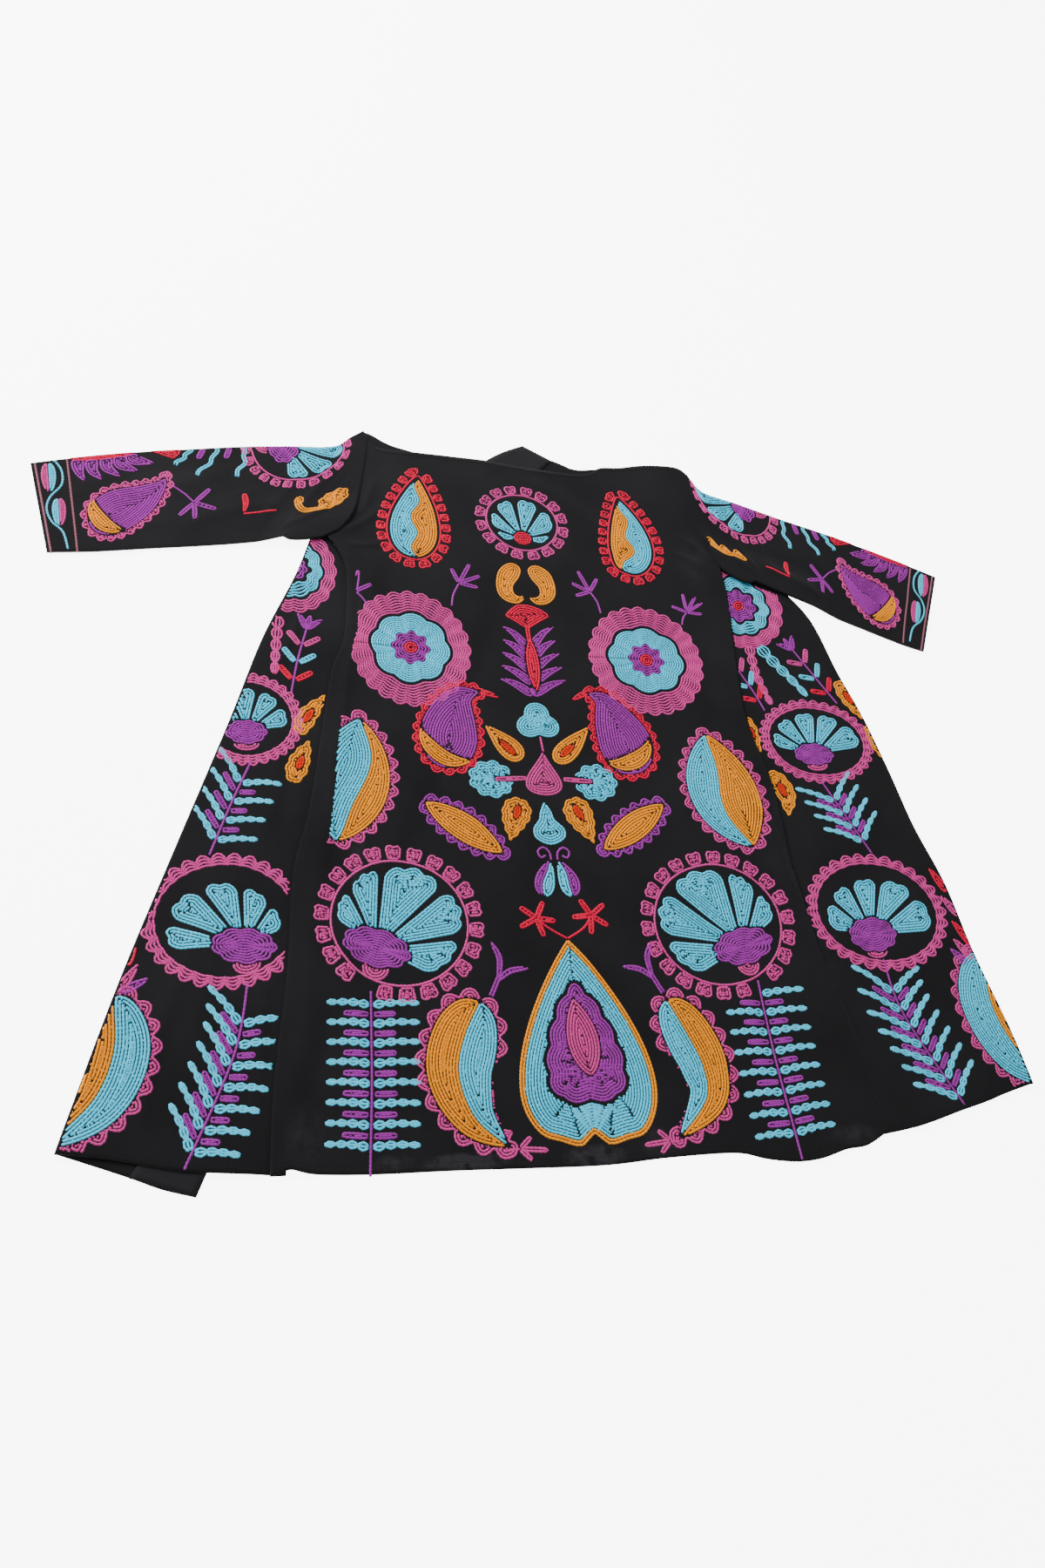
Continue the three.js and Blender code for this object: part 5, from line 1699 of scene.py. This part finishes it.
def beneath_front(side):
    """Test for the face of a front that rests on the surface, clear of its edges."""
    def visible(points):
        x, y = points.T
        above_hem = y > hem_at(HEM_UNDER[side], x) + 8
        return clear_of(side, points, FRONT_EDGE, 8, 6) & above_hem & (y < 330)
    return visible


def on_sleeve(points):
    """Which points, in mm from the cuff and from the top fold, lie between the cuff and the armhole seam."""
    return (points[:, 0] > SEWN_LENGTH[0]) & (points[:, 0] < SEWN_LENGTH[1])


class SleeveSurface:
    """Places and normals on a sleeve's outer face, from mm along it and mm down from its top fold."""

    def __init__(self, side, lift):
        sleeve = SleeveShape(side, SURFACE_STEP)
        self.grid, self.across, self.lift = sleeve.grid, sleeve.across, lift
        self.width = np.linalg.norm(self.grid[:, self.across - 1] - self.grid[:, 0], axis=1)
        self.turn = 1.0 if side == "left" else -1.0

    def at(self, along, down):
        """Places, blended between the four nearest points of the sleeve's grid."""
        row = np.clip(along / SLEEVE_LENGTH, 0, 1) * (len(self.grid) - 1)
        width = np.interp(row, np.arange(len(self.grid)), self.width)
        last, roll, count = self.across - 1, np.pi * SLEEVE_RADIUS, self.grid.shape[1]

        def past(distance):
            """Columns past a fold: those round it, then those of the other layer."""
            layer = np.clip(distance - roll, 0, None) / width * last
            return np.clip(distance, 0, roll) / roll * SLEEVE_ROLL_STEPS + layer

        column = np.clip(down, 0, width) / width * last + past(down - width) - past(-down)
        i, j = np.minimum(row.astype(int), len(self.grid) - 2), np.floor(column).astype(int)
        s, t = (row - i)[:, None], (column - j)[:, None]
        low = lerp(self.grid[i, j % count], self.grid[i, (j + 1) % count], t)
        high = lerp(self.grid[i + 1, j % count], self.grid[i + 1, (j + 1) % count], t)
        return lerp(low, high, s)

    def __call__(self, points):
        along, down = points.T
        middle = self.at(along, down)
        across = self.at(along, down + 1.2) - self.at(along, down - 1.2)
        ahead = self.at(along + 2.0, down) - self.at(along - 2.0, down)
        normal = unit(np.cross(across, ahead) * self.turn)
        return middle + normal * self.lift, normal


def cord(lines, radius, sides=6):
    """Closed round cords along lines of places in mm: rings of points round each, with capped ends."""
    points, faces, used = [], [], 0
    turn = np.linspace(0, 2 * np.pi, sides, endpoint=False)
    for line in lines:
        along = directions(line)
        side = unit(np.cross(along, (0.0, 0.0, 1.0)))
        up = np.cross(side, along)
        ring = side[:, None] * np.cos(turn)[None, :, None] + up[:, None] * np.sin(turn)[None, :, None]
        points.append((line[:, None] + radius * ring).reshape(-1, 3))
        first = np.arange(len(line) - 1)[:, None] * sides + np.arange(sides)[None, :] + used
        after = np.arange(len(line) - 1)[:, None] * sides + (np.arange(sides)[None, :] + 1) % sides + used
        faces.append(np.stack([first, after, after + sides], -1).reshape(-1, 3))
        faces.append(np.stack([first, after + sides, first + sides], -1).reshape(-1, 3))
        fan = np.arange(1, sides - 1)
        last = used + (len(line) - 1) * sides
        faces.append(np.stack([np.full(len(fan), used), used + fan + 1, used + fan], -1))
        faces.append(np.stack([np.full(len(fan), last), last + fan, last + fan + 1], -1))
        used += len(line) * sides
    return np.concatenate(points), np.concatenate(faces)


def dashes(plan, height, rise, stitch=3.0, gap=1.4):
    """Short lines of places along a line in plan, one for each stitch, a rise above a height function."""
    plan = evenly(plan, 0.75)
    places = with_height(plan, height(*plan.T) + rise)
    start = np.arange(0, len(places) - 4, int(round((stitch + gap) / 0.75)))
    return [places[i:i + int(round(stitch / 0.75)) + 1] for i in start]


# ---- operators: sewing and embroidery ----
def embroider(name, motifs, visible, surface):
    """Works motifs, cuts their rows to where the cloth shows, and stitches them on its surface."""
    settings = bpy.context.scene.coat_thread
    work = Embroidery(settings.pitch / MM)
    for add in motifs:
        add(work)
    stitched(name, work.kept(visible), surface, settings)


class COAT_OT_sew_seams(bpy.types.Operator):
    """Sews the armholes, and the stitch lines of the hems and the neck"""

    bl_idname = "coat.sew_seams"
    bl_label = "Seams"

    def execute(self, context):
        cloth = context.scene.coat_cloth
        material = woven_cotton("black sewing thread", cloth.cotton_worn, cloth.cotton_worn, 0.05)
        rise = cloth.wall / MM / 2 + 0.1
        for side in OUTWARD:
            sleeve = SleeveShape(side, SURFACE_STEP)
            outer = sleeve.grid[-1, :sleeve.across, 2]
            share = shares(90)
            line = PlanCurve(ARMHOLE[side]).at(share)
            sleeve_z = np.interp(share, shares(len(outer)), outer)
            seam = with_height(line, (back_mid(*line.T) + sleeve_z) / 2 - SEAM_SUNK)
            points, faces = cord([seam], SEAM_RADIUS)
            new_piece(f"armhole_seam_{side}", points, faces, material)

        hem = PlanCurve(HEM_BACK).at(np.linspace(0.02, 0.98, 200)) + (0, HEM_DEPTH)
        neck = PlanCurve(BACK_TOP).at(np.linspace(0.06, 0.94, 200)) - (0, NECK_DEPTH)
        stitches = dashes(hem, back_mid, rise) + dashes(neck, back_mid, rise)
        points, faces = cord(stitches, STITCH_RADIUS, 4)
        new_piece("back_stitches", points, faces, material)
        for side in OUTWARD:
            hem = PlanCurve(HEM_UPPER[side]).at(np.linspace(0.03, 0.97, 120)) + (0, HEM_DEPTH)
            hem = hem[clear_of(side, hem, BACK_EDGE, 4, 3)]
            points, faces = cord(dashes(hem, partial(front_mid, side), rise), STITCH_RADIUS, 4)
            new_piece(f"front_stitches_{side}", points, faces, material)
        return {"FINISHED"}


class COAT_OT_embroider_fronts(bpy.types.Operator):
    """Works the fronts' motifs, on the upper face and on the face that rests on the surface"""

    bl_idname = "coat.embroider_fronts"
    bl_label = "Front embroidery"

    def execute(self, context):
        lift = context.scene.coat_cloth.wall / MM / 2
        low_face = (UNDER + THREAD_ROOM) / 2 - 0.3

        def beneath(plan):
            return with_height(plan, np.full(len(plan), low_face)), np.tile([0.0, 0.0, -1.0], (len(plan), 1))

        for side, motifs in (("left", left_front_motifs), ("right", right_front_motifs)):
            surface = on_height(partial(front_mid, side), lift)
            embroider(f"front_thread_{side}", [motifs], on_front(side), surface)
            low_motifs = partial(beneath_motifs, hand=OUTWARD[side])
            embroider(f"front_thread_beneath_{side}", [low_motifs], beneath_front(side), beneath)
        return {"FINISHED"}


class COAT_OT_embroider_sleeves(bpy.types.Operator):
    """Works the sleeves' motifs, on both faces"""

    bl_idname = "coat.embroider_sleeves"
    bl_label = "Sleeve embroidery"

    def execute(self, context):
        lift = context.scene.coat_cloth.wall / MM / 2
        for side, along, half in (("left", 331, 62), ("right", 347, 66)):
            faces = [partial(sleeve_motifs, mirror=mirror, hooked=side == "left") for mirror in (1, -1)]
            motifs = [partial(sleeve_fan, along=along, half=half), *faces]
            embroider(f"sleeve_thread_{side}", motifs, on_sleeve, SleeveSurface(side, lift))
        return {"FINISHED"}


class COAT_OT_embroider_back(bpy.types.Operator):
    """Works the back's motifs in rows of chain stitch"""

    bl_idname = "coat.embroider_back"
    bl_label = "Back embroidery"

    def execute(self, context):
        surface = on_height(back_mid, context.scene.coat_cloth.wall / MM / 2)
        for name, motifs in (("upper", (chest_motifs, waist_motifs)), ("lower", (skirt_motifs,))):
            embroider(f"back_thread_{name}", motifs, on_back, surface)
        return {"FINISHED"}


# ---- stage ----
CAMERA_AT = (-0.4194, -0.6785, 1.2500)
CAMERA_AXES = ((0.9648, -0.0948, 0.2454), (-0.0267, 0.8926, 0.4499), (-0.2617, -0.4406, 0.8587))
CAMERA_LENS, CAMERA_SENSOR = 28.147, 36.0  # mm
LAMP_AT, LAMP_SIZE = (-1.3, 1.5, 1.5), (2.2, 1.4)
FLOOR_HALF = 6.0


class COAT_OT_make_stage(bpy.types.Operator):
    """Adds the floor, the lights and the camera"""

    bl_idname = "coat.make_stage"
    bl_label = "Stage"

    def execute(self, context):
        settings = context.scene.coat_stage
        mesh = bpy.data.meshes.new("floor")
        corners = np.array([(-1, -1, 0), (1, -1, 0), (1, 1, 0), (-1, 1, 0)]) * FLOOR_HALF
        mesh.from_pydata(corners.tolist(), [], [(0, 1, 2, 3)])
        mesh.materials.append(plain_floor("pale floor", settings.floor, settings.glow))
        floor = add_object("floor", mesh)

        world = bpy.data.worlds.new("room")
        world.use_nodes = True
        even_light = world.node_tree.nodes["Background"].inputs
        even_light["Color"].default_value = (1, 1, 1, 1)
        even_light["Strength"].default_value = settings.sky
        context.scene.world = world

        lamp_data = bpy.data.lights.new("overhead lamp", "AREA")
        lamp_data.energy = settings.key_power
        lamp_data.shape = "RECTANGLE"
        lamp_data.size, lamp_data.size_y = LAMP_SIZE
        lamp = add_object("overhead lamp", lamp_data)
        lamp.matrix_world = look_at(LAMP_AT, (0, 0, 0))

        camera_data = bpy.data.cameras.new("camera")
        camera_data.lens, camera_data.sensor_width = CAMERA_LENS, CAMERA_SENSOR
        camera = add_object("camera", camera_data)
        axes = Matrix(CAMERA_AXES).transposed().to_4x4()
        camera.matrix_world = Matrix.Translation(CAMERA_AT) @ axes
        context.scene.camera = camera
        return {"FINISHED"}


def look_at(position, target):
    """Matrix of a lamp at a position that shines at a target."""
    back = unit(np.subtract(position, target))
    right = unit(np.cross((0, 0, 1), back))
    axes = Matrix(np.stack([right, np.cross(back, right), back], -1).tolist()).to_4x4()
    return Matrix.Translation(position) @ axes


# ---- panel and registration ----
class COAT_PT_panel(bpy.types.Panel):
    """Lists the coat's pieces and settings"""

    bl_label = "Duster coat"
    bl_idname = "COAT_PT_panel"
    bl_space_type = "VIEW_3D"
    bl_region_type = "UI"
    bl_category = "Coat"

    def draw(self, context):
        for operator in OPERATORS:
            self.layout.operator(operator.bl_idname)
        for group in SETTINGS:
            settings = getattr(context.scene, group)
            for name in settings.bl_rna.properties.keys():
                if name not in ("rna_type", "name"):
                    self.layout.prop(settings, name)


OPERATORS = (
    COAT_OT_make_stage, COAT_OT_make_facings, COAT_OT_make_fronts, COAT_OT_make_back, COAT_OT_make_sleeves,
    COAT_OT_sew_seams, COAT_OT_embroider_back, COAT_OT_embroider_fronts, COAT_OT_embroider_sleeves,
)
SETTINGS = {
    "coat_cloth": CoatClothSettings, "coat_thread": CoatThreadSettings, "coat_stage": CoatStageSettings,
}
CLASSES = (*SETTINGS.values(), *OPERATORS, COAT_PT_panel)


def register():
    """Adds the settings, the operators and the panel to Blender."""
    for cls in CLASSES:
        bpy.utils.register_class(cls)
    for name, group in SETTINGS.items():
        setattr(bpy.types.Scene, name, bpy.props.PointerProperty(type=group))


def unregister():
    """Takes them out again."""
    for name in SETTINGS:
        delattr(bpy.types.Scene, name)
    for cls in reversed(CLASSES):
        bpy.utils.unregister_class(cls)


def main():
    """Builds the stage and every piece."""
    register()
    for operator in OPERATORS:
        group, name = operator.bl_idname.split(".")
        getattr(getattr(bpy.ops, group), name)()


if __name__ == "__main__":
    main()
